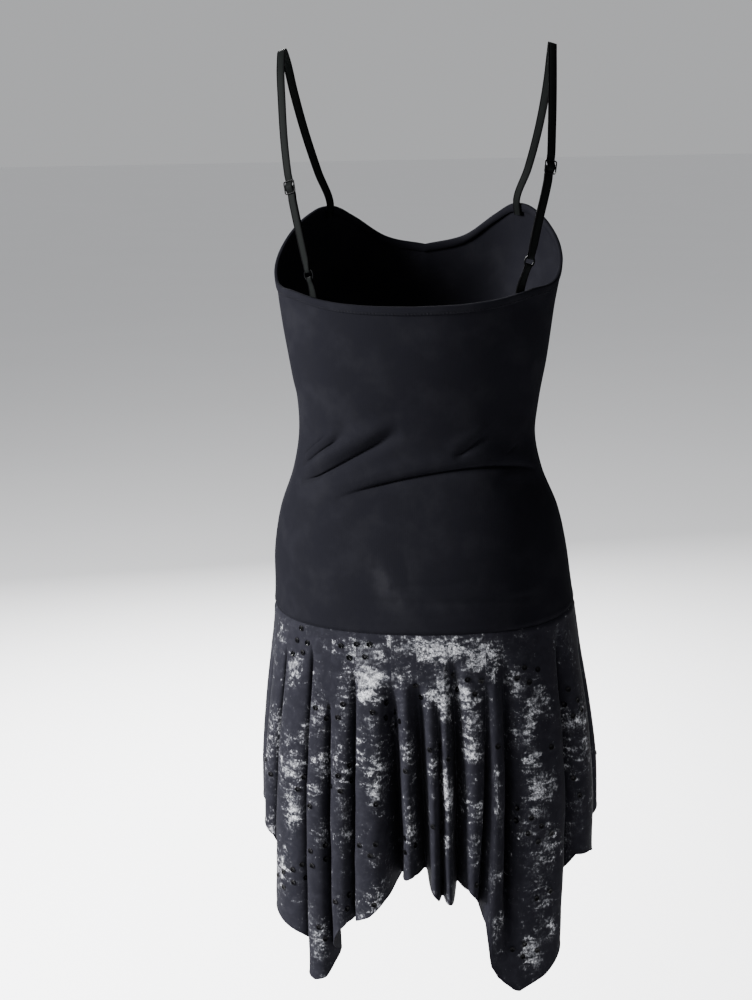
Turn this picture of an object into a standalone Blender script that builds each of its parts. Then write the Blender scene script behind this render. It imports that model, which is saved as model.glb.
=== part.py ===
"""Evening dress: a short slip dress on two adjustable straps, with a fluted handkerchief skirt.

Every length below is in millimetres and every angle in degrees, unless its name says otherwise.
Angles run round the body: 0 is the middle of the back (+Y), 90 the wearer's left side (+X),
180 the middle of the front (-Y) and -90 the wearer's right side (-X). Levels are heights, with 0
where the straps lie on the shoulders. A drop is measured down from the hip seam.
"""
import math

import bpy
import numpy as np

# Driving sizes
MILLIMETRE = 0.001
WALL = 1.2
SEAM_GAP = 0.3
CLEARANCE = 0.3
CORNER_FULLNESS = 0.08

BINDING_DEPTH = 8.0
BINDING_THICK = 1.0

STRAP_WIDTH = 8.5
STRAP_THICK = 1.0
STRAP_END_WIDTH = 6.2
RING_RADIUS = 5.15
RING_WIRE = 0.8
RING_FOLD = 2.9
SLIDER_WIDTH = 12.5
SLIDER_PITCH = 5.8
SLIDER_BAR = 1.2

HIP_SEAM_LEVEL = -535.0
HIP_SEAM_DIP = 3.0
FULL_DROP = 170.0
LOW_DROP = 300.0


def table(names, *rows):
    """Return the columns of a table by their names."""
    return dict(zip(names, np.array(rows, dtype=float).T))


# The garment's sections: half width, depth in front of and behind the side line, and how far
# the section hangs to one side
SECTIONS = table(
    ("level", "half_width", "front", "back", "shift"),
    (-140, 131, 98, 78, 0),
    (-200, 137.5, 112, 92, 1),
    (-240, 132.5, 116, 93, 2.5),
    (-290, 125.5, 106, 86, 2.5),
    (-335, 118, 94, 76, 3),
    (-365, 116.5, 90, 73, 4.5),
    (-400, 123, 92, 80, 4.5),
    (-440, 138, 97, 94, 3.5),
    (-480, 146, 102, 106, 2.5),
    (-515, 149, 105, 112, 0.5),
    (-545, 152, 107, 115, -1),
    (-590, 158, 110, 119, -1.5),
    (-640, 165, 115, 124, -2.5),
    (-700, 171, 120, 129, -3.5),
    (-780, 173, 124, 132, -3.5),
    (-920, 173, 125, 134, -3.5),
)

# The bodice's upper edge, the same on both sides
TOP_EDGE = table(
    ("angle", "level"),
    (0, -231), (20, -229.5), (35, -226), (45, -222), (55, -218.5), (66, -217), (76, -213),
    (85, -204), (95, -192), (108, -174), (122, -157), (132, -149), (140, -149), (150, -160),
    (164, -181), (180, -190),
)

# Soft fullness of the front for the bust, out from the section
BUST = {"angle": 38.0, "level": -238.0, "out": 17.0, "turn": 24.0, "rise": 62.0, "fall": 46.0}

# Folds of the bodice: from one end to the other, with the bow of the line between them
FOLDS = table(
    ("start_angle", "start_level", "end_angle", "end_level", "bow", "width", "depth"),
    (60, -405, 4, -349, 3, 7.0, 5.0),
    (34, -415, -72, -395, -15.5, 5.5, 3.0),
    (-18, -376, -37, -353, 1, 5.0, 2.0),
    (63, -390, 30, -355, -1, 5.0, 2.2),
    (112, -398, 168, -388, 6, 7.0, 3.2),
    (-100, -402, -158, -380, -5, 7.0, 3.6),
)

# The skirt's flutes, from the wearer's right side round the back and the front. Each row is a
# flute and the crease after it: the crease's place at the seam and low down, the drops where it
# starts and closes, half its opening, its depth and the side its bottom leans to, and the hem's
# drop at the flute's first edge, middle and last edge.
FLUTES = table(
    ("top", "low", "start", "end", "half_gap", "depth", "lean", "hem_in", "hem_mid", "hem_out"),
    (-84, -81, 40, 900, 4.0, 13, 0, 220, 222, 228),
    (-60.5, -56.5, 8, 900, 7.5, 27, 1, 262, 252, 248),
    (-30.5, -27.5, 20, 330, 6.0, 19, -1, 338, 360, 371),
    (-23.7, -18, 45, 900, 3.0, 13, 0, 352, 338, 292),
    (-12.0, -12.0, 25, 900, 6.0, 25, 1, 268, 262, 257),
    (-6.3, -6.4, 60, 900, 2.2, 10, 0, 271, 270, 269),
    (0.2, -1.0, 45, 900, 6.0, 25, 0, 267, 262, 258),
    (8.5, 7.7, 45, 900, 7.5, 29, 0, 241, 243, 247),
    (20.9, 22.5, 35, 900, 2.2, 13, -1, 270, 287, 295),
    (30.5, 31, 70, 900, 2.0, 13, 0, 298, 308, 326),
    (39.8, 42, 20, 900, 1.2, 17, -4, 365, 369, 366),
    (55.5, 65, 30, 900, 1.6, 15, 3, 327, 320, 311),
    (71, 79, 50, 900, 3.2, 14, 0, 238, 232, 226),
    (101, 101, 30, 900, 5.0, 21, -1, 218, 213, 222),
    (117, 116, 55, 900, 2.5, 14, 1, 232, 252, 266),
    (130, 131, 25, 900, 6.5, 24, 0, 288, 318, 340),
    (143, 144, 45, 900, 3.0, 15, -2, 362, 370, 352),
    (157, 156, 15, 900, 6.0, 26, 1, 322, 300, 284),
    (170, 170, 60, 900, 2.4, 13, 0, 270, 260, 254),
    (186, 187, 30, 900, 7.0, 27, 0, 250, 249, 251),
    (199, 199, 50, 900, 2.2, 13, 1, 256, 264, 280),
    (213, 212, 20, 900, 6.2, 25, -1, 300, 326, 346),
    (227, 227, 45, 900, 1.6, 16, 3, 364, 368, 350),
    (243, 243, 35, 900, 5.5, 22, 0, 318, 290, 262),
    (258, 259, 55, 900, 3.0, 14, 0, 244, 232, 224),
)
BACK_FLUTES = 13
SPANS_PER_FLUTE = 6
SAMPLES_PER_SPAN = 2
SOFT_START = 2.4
RIDGE_SWELL = 1.5
RIDGE_SWELL_SHARE = 0.09
RIDGE_SWELL_MOST = 5.0

# The line each strap follows, from inside the back of the bodice up over the shoulder to the
# inside of the front point. Turn is how far its outer face is turned from straight back or
# straight up towards the arm.
STRAP_COLUMNS = ("x", "y", "z", "turn")
STRAP_PLUS_X = table(
    STRAP_COLUMNS,
    (97.2, 67.5, -203, 34), (104, 63, -172, 33), (114.5, 50, -124.5, 30), (119.5, 40, -90, 27),
    (123, 27, -48, 23), (125, 14, -15, 20), (125.5, 0, -1, 18), (124.5, -16, -9, 20),
    (121, -36, -38, 24), (113, -56, -80, 29), (104, -70, -115, 33),
)
STRAP_MINUS_X = table(
    STRAP_COLUMNS,
    (106, 64, -194, 36), (113, 59, -163, 35), (124, 50, -110.5, 30), (125.5, 39, -76, 26),
    (126, 26, -40, 22), (126, 12, -12, 20), (126, 0, -1, 18), (125, -16, -9, 20),
    (121.5, -36, -38, 24), (113.5, -56, -80, 29), (104, -70, -115, 33),
)

# Each side's strap: its name, its direction along X, its line, its slider's height, the level of
# its ring, and the angle at which its tab goes into the back of the bodice
STRAP_SIDES = (
    ("left", 1.0, STRAP_PLUS_X, -124.5, -203.5, 41.5),
    ("right", -1.0, STRAP_MINUS_X, -110.5, -194.0, 46.5),
)
FRONT_POINT_ANGLE = 136.0
SEWN_DEPTH = 11.0
SEWN_PLAY = 0.3
STRAP_STATIONS = 26


# Interpolation
def smooth(x, xs, ys):
    """Interpolate a curve smoothly through the rows of a table, xs rising."""
    slopes = np.gradient(ys, xs)
    x = np.clip(x, xs[0], xs[-1])
    i = np.clip(np.searchsorted(xs, x, side="right") - 1, 0, len(xs) - 2)
    span = xs[i + 1] - xs[i]
    f = (x - xs[i]) / span
    return (
        ys[i] * (1 + 2 * f) * (1 - f) ** 2
        + ys[i + 1] * f * f * (3 - 2 * f)
        + slopes[i] * span * f * (1 - f) ** 2
        - slopes[i + 1] * span * f * f * (1 - f)
    )


def section_value(level, column):
    """Read a column of the section table at a level."""
    return smooth(-level, -SECTIONS["level"], SECTIONS[column])


# The garment's outer form
def envelope(angle, level):
    """Return the points of the smooth outer form, with no fold in it."""
    turn = np.radians(angle)
    side = np.sin(turn)
    fore = np.cos(turn)
    depth = np.where(fore > 0, section_value(level, "back"), section_value(level, "front"))
    x = section_value(level, "half_width") * side * (1 + CORNER_FULLNESS * fore ** 2)
    x = x + section_value(level, "shift")
    y = depth * fore * (1 + CORNER_FULLNESS * side ** 2)
    return np.stack([x, y - bust_out(angle, level), level + 0 * x], axis=-1)


def bust_out(angle, level):
    """Return how far the bust pushes the front out."""
    from_front = np.abs(angle % 360.0 - 180.0)
    across = np.exp(-(((from_front - BUST["angle"]) / BUST["turn"]) ** 2))
    height = level - BUST["level"]
    reach = np.where(height > 0, BUST["rise"], BUST["fall"])
    return BUST["out"] * across * np.exp(-((height / reach) ** 2))


def outward(surface, a, b, step_a, step_b):
    """Return a surface's unit normal from small steps in its two values."""
    along_a = surface(a + step_a, b) - surface(a - step_a, b)
    along_b = surface(a, b + step_b) - surface(a, b - step_b)
    normal = np.cross(along_a, along_b)
    return normal / np.linalg.norm(normal, axis=-1, keepdims=True)


def envelope_outward(angle, level):
    """Return the smooth form's unit normal, which points out of the garment."""
    return -outward(envelope, angle, level, 0.2, 0.5)


def fold_relief(angle, level):
    """Return how far the folds move the bodice out, below zero in their troughs."""
    relief = np.zeros(np.broadcast(angle, level).shape)
    wrapped = (angle + 180.0) % 360.0 - 180.0
    for i in range(len(FOLDS["depth"])):
        fold = {name: values[i] for name, values in FOLDS.items()}
        middle = 0.5 * (fold["start_level"] + fold["end_level"])
        arm = math.radians(1.0) * float(section_value(middle, "half_width"))
        run = np.array([(fold["end_angle"] - fold["start_angle"]) * arm,
                        fold["end_level"] - fold["start_level"]])
        length = math.hypot(run[0], run[1])
        across = (wrapped - fold["start_angle"]) * arm
        up = level - fold["start_level"]
        share = np.clip((across * run[0] + up * run[1]) / length ** 2, 0.0, 1.0)
        away = (up * run[0] - across * run[1]) / length * np.sign(run[0])
        away = away + fold["bow"] * 4 * share * (1 - share)
        fade = np.clip(6 * share * (1 - share), 0.0, 1.0)
        trough = np.exp(-((away / fold["width"]) ** 2))
        ridge = np.exp(-(((away - 1.7 * fold["width"]) / (1.3 * fold["width"])) ** 2))
        relief = relief + fold["depth"] * fade * (0.45 * ridge - trough)
    return relief


def bodice(angle, level):
    """Return points on the bodice's outer face."""
    lift = fold_relief(angle, level)[..., None]
    return envelope(angle, level) + lift * envelope_outward(angle, level)


def bodice_outward(angle, level):
    """Return the bodice's unit normal."""
    return -outward(bodice, angle, level, 0.4, 1.0)


def top_edge(angle):
    """Return the level of the bodice's finished upper edge."""
    from_back = np.abs((angle + 180.0) % 360.0 - 180.0)
    return smooth(from_back, TOP_EDGE["angle"], TOP_EDGE["level"])


def hip_seam(angle):
    """Return the level of the seam between bodice and skirt."""
    return HIP_SEAM_LEVEL - HIP_SEAM_DIP * np.cos(np.radians(angle))


# The skirt's fluted form
def crease_angle(i, drop):
    """Return a crease's angle at a drop, moving from its upper to its lower place."""
    share = drop / LOW_DROP
    return FLUTES["top"][i] + (FLUTES["low"][i] - FLUTES["top"][i]) * share


def crease_growth(i, drop):
    """Return how far a crease has opened at a drop: 0 above its start, 1 at the full drop."""
    start = FLUTES["start"][i]
    growth = np.clip((drop - start) / (FULL_DROP - start), 0.0, None)
    growth = np.where(growth > 1, 1 + 0.3 * (growth - 1), growth)
    closing = np.clip((FLUTES["end"][i] - drop) / 90.0, 0.0, 1.0)
    return growth * closing


def crease_softness(growth):
    """Return how much wider than its fold a crease is where it is still a soft trough."""
    return SOFT_START * np.clip(1.0 - growth, 0.0, 1.0) ** 2


def flute_control(index, drop):
    """Return a control point of the skirt's section at a drop: angle, way in, and hem drop.

    Six points make a flute: the middle of its ridge, its edge, the crease's first wall, the
    crease's bottom, its second wall, and the next flute's edge.
    """
    count = len(FLUTES["top"])
    turns, index = np.divmod(index, SPANS_PER_FLUTE * count)
    flute, kind = np.divmod(index, SPANS_PER_FLUTE)
    before = (flute - 1) % count
    after = (flute + 1) % count
    here = crease_angle(flute, drop)
    behind = crease_angle(before, drop) - np.where(flute == 0, 360.0, 0.0)
    growth = crease_growth(flute, drop)
    growth_before = crease_growth(before, drop)
    gap = FLUTES["half_gap"][flute] + crease_softness(growth)
    gap_before = FLUTES["half_gap"][before] + crease_softness(growth_before)
    depth = FLUTES["depth"][flute] * growth
    lean = FLUTES["lean"][flute] * growth
    arm = 2.9
    width = (here - behind) * arm - gap - gap_before
    middle = 0.5 * (here - gap / arm + behind + gap_before / arm)
    swell = np.minimum(RIDGE_SWELL + RIDGE_SWELL_SHARE * width, RIDGE_SWELL_MOST)
    swell = swell * np.clip(0.5 * (growth + growth_before), 0, 1)
    angle = np.choose(kind, [
        middle,
        here - gap / arm,
        here + (lean * 0.5 - gap * 0.45) / arm,
        here + lean / arm,
        here + (lean * 0.5 + gap * 0.45) / arm,
        here + gap / arm,
    ])
    way_in = np.choose(kind, [-swell, 0.02 * depth, 0.6 * depth, 1.12 * depth, 0.6 * depth, 0.02 * depth])
    hem_out = FLUTES["hem_out"][flute]
    hem_next = FLUTES["hem_in"][after]
    hem = np.choose(kind, [
        FLUTES["hem_mid"][flute],
        hem_out,
        0.7 * hem_out + 0.3 * hem_next,
        0.5 * hem_out + 0.5 * hem_next,
        0.3 * hem_out + 0.7 * hem_next,
        hem_next,
    ])
    return angle + 360.0 * turns, way_in, hem


def flute_blend(place, drop, value):
    """Blend one value of the control points along the skirt's section as a cubic B-spline."""
    first = np.floor(place).astype(int)
    f = place - first
    weights = (
        (1 - f) ** 3 / 6,
        (3 * f ** 3 - 6 * f ** 2 + 4) / 6,
        (-3 * f ** 3 + 3 * f ** 2 + 3 * f + 1) / 6,
        f ** 3 / 6,
    )
    return sum(w * flute_control(first + k - 1, drop)[value] for k, w in enumerate(weights))


def hem_drop(place):
    """Return the skirt's length below the seam at a place along its section."""
    first = np.floor(place).astype(int)
    f = place - first
    here = flute_control(first, 0.0 * place)[2]
    after = flute_control(first + 1, 0.0 * place)[2]
    return (1 - f) * here + f * after


def skirt(place, drop):
    """Return points on the skirt's outer face."""
    angle = flute_blend(place, drop, 0)
    way_in = flute_blend(place, drop, 1)
    level = hip_seam(angle) - SEAM_GAP - drop
    return envelope(angle, level) - way_in[..., None] * envelope_outward(angle, level)


def skirt_outward(place, drop):
    """Return the skirt's unit normal."""
    return outward(lambda p, d: skirt(p, np.maximum(d, 0.0)), place, drop, 0.03, 0.4)


# Meshes
def new_object(name, vertices, faces, material, smooth_angle=45.0):
    """Make a mesh object from points in millimetres and give it its material."""
    mesh = bpy.data.meshes.new(name)
    mesh.from_pydata([tuple(v) for v in np.asarray(vertices) * MILLIMETRE], [], faces)
    mesh.polygons.foreach_set("use_smooth", [True] * len(mesh.polygons))
    mesh.set_sharp_from_angle(angle=math.radians(smooth_angle))
    mesh.materials.append(material)
    body = bpy.data.objects.new(name, mesh)
    bpy.context.scene.collection.objects.link(body)
    return body


def cloth_solid(name, outer, inner, material):
    """Close a cloth wall between two grids of points, rows running down and columns round."""
    rows, columns = outer.shape[:2]
    shift = rows * columns
    faces = []
    for r in range(rows - 1):
        for c in range(columns - 1):
            corner = (r * columns + c, r * columns + c + 1,
                      (r + 1) * columns + c + 1, (r + 1) * columns + c)
            faces.append(corner)
            faces.append(tuple(v + shift for v in reversed(corner)))
    border = [c for c in range(columns)]
    border += [r * columns + columns - 1 for r in range(1, rows)]
    border += [(rows - 1) * columns + c for c in range(columns - 2, -1, -1)]
    border += [r * columns for r in range(rows - 2, 0, -1)]
    for here, after in zip(border, border[1:] + border[:1]):
        faces.append((after, here, here + shift, after + shift))
    vertices = np.concatenate([outer.reshape(-1, 3), inner.reshape(-1, 3)])
    return new_object(name, vertices, faces, material)


def swept_solid(name, rings, material, closed=False):
    """Join a row of equal closed rings of points into a solid, capped unless it closes."""
    count, size = rings.shape[:2]
    faces = []
    for r in range(count if closed else count - 1):
        for k in range(size):
            after = (k + 1) % size
            following = (r + 1) % count
            faces.append((r * size + k, r * size + after,
                          following * size + after, following * size + k))
    if not closed:
        faces.append(tuple(reversed(range(size))))
        faces.append(tuple((count - 1) * size + k for k in range(size)))
    return new_object(name, rings.reshape(-1, 3), faces, material)


def edge_trim(angles, first, last, arm):
    """Pull the two end columns in so that neighbouring panels keep their seam gap."""
    trimmed = angles.copy()
    trimmed[0] = first + math.degrees(0.5 * SEAM_GAP / arm)
    trimmed[-1] = last - math.degrees(0.5 * SEAM_GAP / arm)
    return trimmed


# Pieces
BACK_ROWS = (0.0, 0.08, 0.16, 0.24, 0.31, 0.37, 0.42, 0.465, 0.5, 0.54, 0.575, 0.61, 0.655,
             0.71, 0.78, 0.85, 0.92, 1.0)
FRONT_ROWS = (0.0, 0.06, 0.12, 0.18, 0.25, 0.32, 0.4, 0.47, 0.53, 0.58, 0.63, 0.69, 0.77, 0.85,
              0.93, 1.0)
BACK_COLUMNS = 36
FRONT_COLUMNS = 36
SKIRT_ROWS = (0.0, 0.1, 0.24, 0.4, 0.58, 0.78, 1.0)


def panel_angles(first, last, columns):
    """Return the angles of a bodice panel's columns, trimmed at its side seams."""
    return edge_trim(np.linspace(first, last, columns + 1), first, last, 100.0)


def bodice_panel(name, first, last, columns, rows, material):
    """Make the front or back of the bodice."""
    angles = panel_angles(first, last, columns)
    top = top_edge(angles) - BINDING_THICK - CLEARANCE
    bound = top_edge(angles) - BINDING_DEPTH
    share = np.array(rows)[:, None]
    levels = np.concatenate([top[None], bound + (hip_seam(angles) - bound) * share])
    grid = np.broadcast_to(angles, levels.shape)
    outer = bodice(grid, levels)
    inner = outer - WALL * bodice_outward(grid, levels)
    return cloth_solid(name, outer, inner, material)


def binding(name, first, last, columns, material):
    """Make the folded binding that wraps the bodice's upper edge."""
    angles = panel_angles(first, last, columns)
    top = top_edge(angles)
    low = top - BINDING_DEPTH
    under = top - BINDING_THICK
    near = CLEARANCE
    far = CLEARANCE + BINDING_THICK
    profile = (
        (low, far), (top, far), (top, -WALL - far), (low, -WALL - far),
        (low, -WALL - near), (under, -WALL - near), (under, near), (low, near),
    )
    rings = [bodice(angles, level) + out * bodice_outward(angles, level) for level, out in profile]
    rings = np.stack(rings, axis=1)
    return swept_solid(name, rings, material)


def seam_reach(places, drops):
    """Return half the seam gap as a share of a span of the skirt's section, at each drop."""
    step = 0.01
    chords = np.linalg.norm(skirt(places + step, drops) - skirt(places - step, drops), axis=-1)
    return 0.5 * SEAM_GAP * 2 * step / chords


def skirt_panel(name, first, last, material):
    """Make the front or back of the skirt between two ridges."""
    count = (last - first) * SAMPLES_PER_SPAN
    places = np.linspace(first, last, count + 1)
    drops = np.array(SKIRT_ROWS)[:, None] * hem_drop(places)
    grid = np.broadcast_to(places, drops.shape).copy()
    grid[:, 0] += seam_reach(grid[:, 0], drops[:, 0])
    grid[:, -1] -= seam_reach(grid[:, -1], drops[:, -1])
    outer = skirt(grid, drops)
    inner = outer - WALL * skirt_outward(grid, drops)
    inner[0, :, 2] = outer[0, :, 2]
    return cloth_solid(name, outer, inner, material)


class StrapLine:
    """The line one strap follows, with the frame its band, slider and ring are set in."""

    def __init__(self, side, rows, ends):
        points = np.stack([side * rows["x"], rows["y"], rows["z"]], axis=-1)
        points = np.concatenate([ends[0][0], points, ends[1][0][::-1]])
        turns = np.concatenate([ends[0][1], rows["turn"], ends[1][1]])
        chords = np.linalg.norm(np.diff(points, axis=0), axis=1)
        self.side = side
        self.points = points
        self.turns = turns
        self.lengths = np.concatenate([[0.0], np.cumsum(chords)])

    def at(self, length):
        """Return the line's point, direction, outward normal and width direction."""
        length = np.atleast_1d(np.asarray(length, dtype=float))
        place = np.stack([smooth(length, self.lengths, self.points[:, k]) for k in range(3)], -1)
        ahead = np.stack([smooth(length + 0.5, self.lengths, self.points[:, k]) for k in range(3)], -1)
        behind = np.stack([smooth(length - 0.5, self.lengths, self.points[:, k]) for k in range(3)], -1)
        along = ahead - behind
        along = along / np.linalg.norm(along, axis=-1, keepdims=True)
        turn = np.radians(smooth(length, self.lengths, self.turns))
        side_axis = np.array([self.side, 0.0, 0.0])
        straight_out = np.cross(along, np.array([1.0, 0.0, 0.0]))
        straight_out = straight_out / np.linalg.norm(straight_out, axis=-1, keepdims=True)
        out = np.cos(turn)[:, None] * straight_out + np.sin(turn)[:, None] * side_axis
        out = out - np.sum(out * along, axis=-1, keepdims=True) * along
        out = out / np.linalg.norm(out, axis=-1, keepdims=True)
        return place, along, out, np.cross(along, out)

    def length_at_level(self, level):
        """Return the length at which the back part of the line reaches a level."""
        lengths = np.linspace(0.0, 0.5 * self.lengths[-1], 2000)
        return float(np.interp(level, self.at(lengths)[0][:, 2], lengths))


def band_solid(name, line, stations, material):
    """Make a flat band along a strap line: each station is a length, a way out and a width."""
    lengths, outs, widths = np.array(stations).T
    place, along, out, across = line.at(lengths)
    centre = place + outs[:, None] * out
    forward = np.gradient(centre, axis=0)
    forward = forward / np.linalg.norm(forward, axis=-1, keepdims=True)
    face = np.cross(across, forward)
    half = 0.5 * widths[:, None] * across
    lift = 0.5 * STRAP_THICK * face
    rings = np.stack([centre - half - lift, centre - half + lift,
                      centre + half + lift, centre + half - lift], axis=1)
    return swept_solid(name, rings, material)


def strap_stations(line, slider_length, ring_length):
    """Return the strap's course: from the slider's middle bar down, round the ring, up and over."""
    layer = 0.5 * (STRAP_THICK + CLEARANCE)
    round_bar = 0.5 * SLIDER_BAR + CLEARANCE + 0.5 * STRAP_THICK
    plane = 2 * layer
    wire = RING_WIRE + CLEARANCE + 0.5 * STRAP_THICK
    top_wire = ring_length + RING_RADIUS
    fold = top_wire - RING_FOLD
    full = STRAP_WIDTH
    narrow = STRAP_END_WIDTH
    course = [
        (slider_length + 1.4, plane - round_bar, full),
        (slider_length - 1.4, plane - round_bar, full),
        (slider_length - 3.8, plane - round_bar - 0.8, full),
        (slider_length - SLIDER_PITCH - 0.8, plane - round_bar - 2 * layer, full),
        (slider_length - SLIDER_PITCH - 6.0, -layer, full),
        (0.5 * (slider_length + top_wire), -layer, full),
        (top_wire + 9.0, -layer, full),
        (top_wire + 3.5, -1.1, narrow + 0.6),
        (top_wire, -wire, narrow),
        (fold + 0.8, -0.85 * wire, narrow),
        (fold, -0.45 * wire, narrow),
        (fold, 0.45 * wire, narrow),
        (fold + 0.8, 0.85 * wire, narrow),
        (top_wire, wire, narrow),
        (top_wire + 3.5, 1.1, narrow + 0.6),
        (top_wire + 9.0, layer, full),
        (0.5 * (slider_length + top_wire), layer, full),
        (slider_length - SLIDER_PITCH - 6.0, layer, full),
        (slider_length - SLIDER_PITCH - 0.4, plane - round_bar, full),
        (slider_length - SLIDER_PITCH + 0.7, plane - round_bar + 0.1, full),
        (slider_length - 1.6, plane + round_bar - 0.3, full),
        (slider_length, plane + round_bar, full),
        (slider_length + 1.6, plane + round_bar - 0.3, full),
        (slider_length + SLIDER_PITCH - 0.7, plane - round_bar + 0.1, full),
        (slider_length + SLIDER_PITCH + 0.4, plane - round_bar, full),
        (slider_length + SLIDER_PITCH + 6.0, layer, full),
    ]
    rest = np.linspace(slider_length + SLIDER_PITCH + 12.0, line.lengths[-1], STRAP_STATIONS)
    course += [(length, layer, full) for length in rest]
    return course


def tab_stations(ring_length):
    """Return the course of the loop that ties a ring to the bodice: up, round the wire, down."""
    layer = 0.5 * (STRAP_THICK + CLEARANCE)
    wire = RING_WIRE + CLEARANCE + 0.5 * STRAP_THICK
    low_wire = ring_length - RING_RADIUS
    fold = low_wire + RING_FOLD
    narrow = STRAP_END_WIDTH
    side = [
        (0.0, layer, STRAP_WIDTH),
        (0.5 * (low_wire - 4.5), layer, STRAP_WIDTH),
        (low_wire - 4.5, layer, narrow + 0.6),
        (low_wire - 2.2, 1.0, narrow),
        (low_wire, wire, narrow),
        (fold - 0.8, 0.85 * wire, narrow),
        (fold, 0.45 * wire, narrow),
    ]
    return side + [(length, -out, width) for length, out, width in reversed(side)]


def frame_points(line, length, out, flat):
    """Set points given across, along and out of the band at one place on a strap line."""
    place, along, normal, across = (v[0] for v in line.at(length))
    origin = place + out * normal
    return np.array([origin + p[0] * across + p[1] * along + p[2] * normal for p in flat])


def ring_solid(name, line, ring_length, material, turns=24, sides=7):
    """Make the round wire ring."""
    rings = []
    for i in range(turns):
        a = 2 * math.pi * i / turns
        ring = []
        for k in range(sides):
            b = 2 * math.pi * k / sides
            reach = RING_RADIUS + RING_WIRE * math.cos(b)
            ring.append((reach * math.cos(a), reach * math.sin(a), RING_WIRE * math.sin(b)))
        rings.append(frame_points(line, ring_length, 0.0, ring))
    return swept_solid(name, np.array(rings)[:, ::-1], material, closed=True)


def slider_solid(name, line, slider_length, material):
    """Make the slider: a plate with two slots, its edges softened."""
    half = 0.5 * SLIDER_WIDTH
    bar = 0.5 * SLIDER_BAR
    across = (-half, -half + SLIDER_BAR, half - SLIDER_BAR, half)
    along = (-SLIDER_PITCH - bar, -SLIDER_PITCH + bar, -bar, bar, SLIDER_PITCH - bar,
             SLIDER_PITCH + bar)
    flat = [(x, y, z) for z in (-bar, bar) for y in along for x in across]
    plane = STRAP_THICK + CLEARANCE
    points = frame_points(line, slider_length, plane, flat)
    layer = len(across) * len(along)
    slots = {(1, 1), (1, 3)}
    cells = {(i, j) for i in range(3) for j in range(5)} - slots
    faces = []
    for i, j in sorted(cells):
        a = j * 4 + i
        b = a + 1
        c = a + 5
        d = a + 4
        faces.append((d, c, b, a))
        faces.append(tuple(v + layer for v in (a, b, c, d)))
        for beside, (p, q) in (((i, j - 1), (a, b)), ((i + 1, j), (b, c)),
                               ((i, j + 1), (c, d)), ((i - 1, j), (d, a))):
            if beside not in cells:
                faces.append((p, q, q + layer, p + layer))
    body = new_object(name, points, faces, material, 60.0)
    soften = body.modifiers.new("softened edges", "BEVEL")
    soften.width = 0.3 * MILLIMETRE
    soften.segments = 1
    soften.limit_method = "ANGLE"
    soften.angle_limit = math.radians(50.0)
    return body


def sewn_end(angle):
    """Return the two points and turns of a strap line's end, sewn inside the bodice's edge."""
    depth = WALL + 2 * CLEARANCE + BINDING_THICK + SEWN_PLAY + STRAP_THICK + 0.5 * CLEARANCE
    angle = np.full(2, float(angle))
    level = top_edge(angle) + np.array([-SEWN_DEPTH, 2.0])
    normal = bodice_outward(angle, level)
    turn = np.degrees(np.arctan2(np.abs(normal[:, 0]), np.abs(normal[:, 1])))
    return bodice(angle, level) - depth * normal, turn


def strap_side(name, side, rows, slider_level, ring_level, tab_angle, cloth, gloss):
    """Make one side's strap, slider, ring and tab."""
    line = StrapLine(side, rows, (sewn_end(side * tab_angle), sewn_end(side * FRONT_POINT_ANGLE)))
    slider_length = line.length_at_level(slider_level)
    ring_length = line.length_at_level(ring_level)
    band_solid("strap_" + name, line, strap_stations(line, slider_length, ring_length), cloth)
    band_solid("strap_tab_" + name, line, tab_stations(ring_length), cloth)
    ring_solid("strap_ring_" + name, line, ring_length, gloss)
    slider_solid("strap_slider_" + name, line, slider_length, gloss)


def new_material(name, color, roughness):
    """Make one piece's own material."""
    material = bpy.data.materials.new(name)
    material.use_nodes = True
    shader = material.node_tree.nodes["Principled BSDF"]
    shader.inputs["Base Color"].default_value = (*color, 1.0)
    shader.inputs["Roughness"].default_value = roughness
    shader.inputs["Metallic"].default_value = 0.0
    return material


def main():
    for body in list(bpy.data.objects):
        bpy.data.objects.remove(body)

    jersey_color = (0.014, 0.014, 0.017)
    foil_color = (0.05, 0.05, 0.055)
    gloss_color = (0.006, 0.006, 0.007)
    jersey_back = new_material("jersey back", jersey_color, 0.75)
    jersey_front = new_material("jersey front", jersey_color, 0.75)
    bodice_panel("bodice_back", -90.0, 90.0, BACK_COLUMNS, BACK_ROWS, jersey_back)
    bodice_panel("bodice_front", 90.0, 270.0, FRONT_COLUMNS, FRONT_ROWS, jersey_front)

    binding_back = new_material("binding back", jersey_color, 0.7)
    binding_front = new_material("binding front", jersey_color, 0.7)
    binding("top_binding_back", -90.0, 90.0, BACK_COLUMNS, binding_back)
    binding("top_binding_front", 90.0, 270.0, FRONT_COLUMNS, binding_front)

    side_place = BACK_FLUTES * SPANS_PER_FLUTE
    whole = len(FLUTES["top"]) * SPANS_PER_FLUTE
    skirt_panel("skirt_back", 0, side_place, new_material("foil cloth back", foil_color, 0.6))
    skirt_panel("skirt_front", side_place, whole, new_material("foil cloth front", foil_color, 0.6))

    for name, side, rows, slider_level, ring_level, tab_angle in STRAP_SIDES:
        cloth = new_material("strap satin " + name, (0.02, 0.02, 0.022), 0.4)
        gloss = new_material("gloss plastic " + name, gloss_color, 0.2)
        strap_side(name, side, rows, slider_level, ring_level, tab_angle, cloth, gloss)


main()
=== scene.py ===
# %% [markdown]
# # An evening dress
#
# A short slip dress: a stretch jersey bodice, two adjustable straps, and a skirt whose deep
# corners fall in flutes to four points. It keeps the hollow form that it has when it is worn.
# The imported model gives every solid's place. This lesson replaces each soft solid with a finer
# cloth piece on the same form, and finishes every surface with shader nodes.

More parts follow.
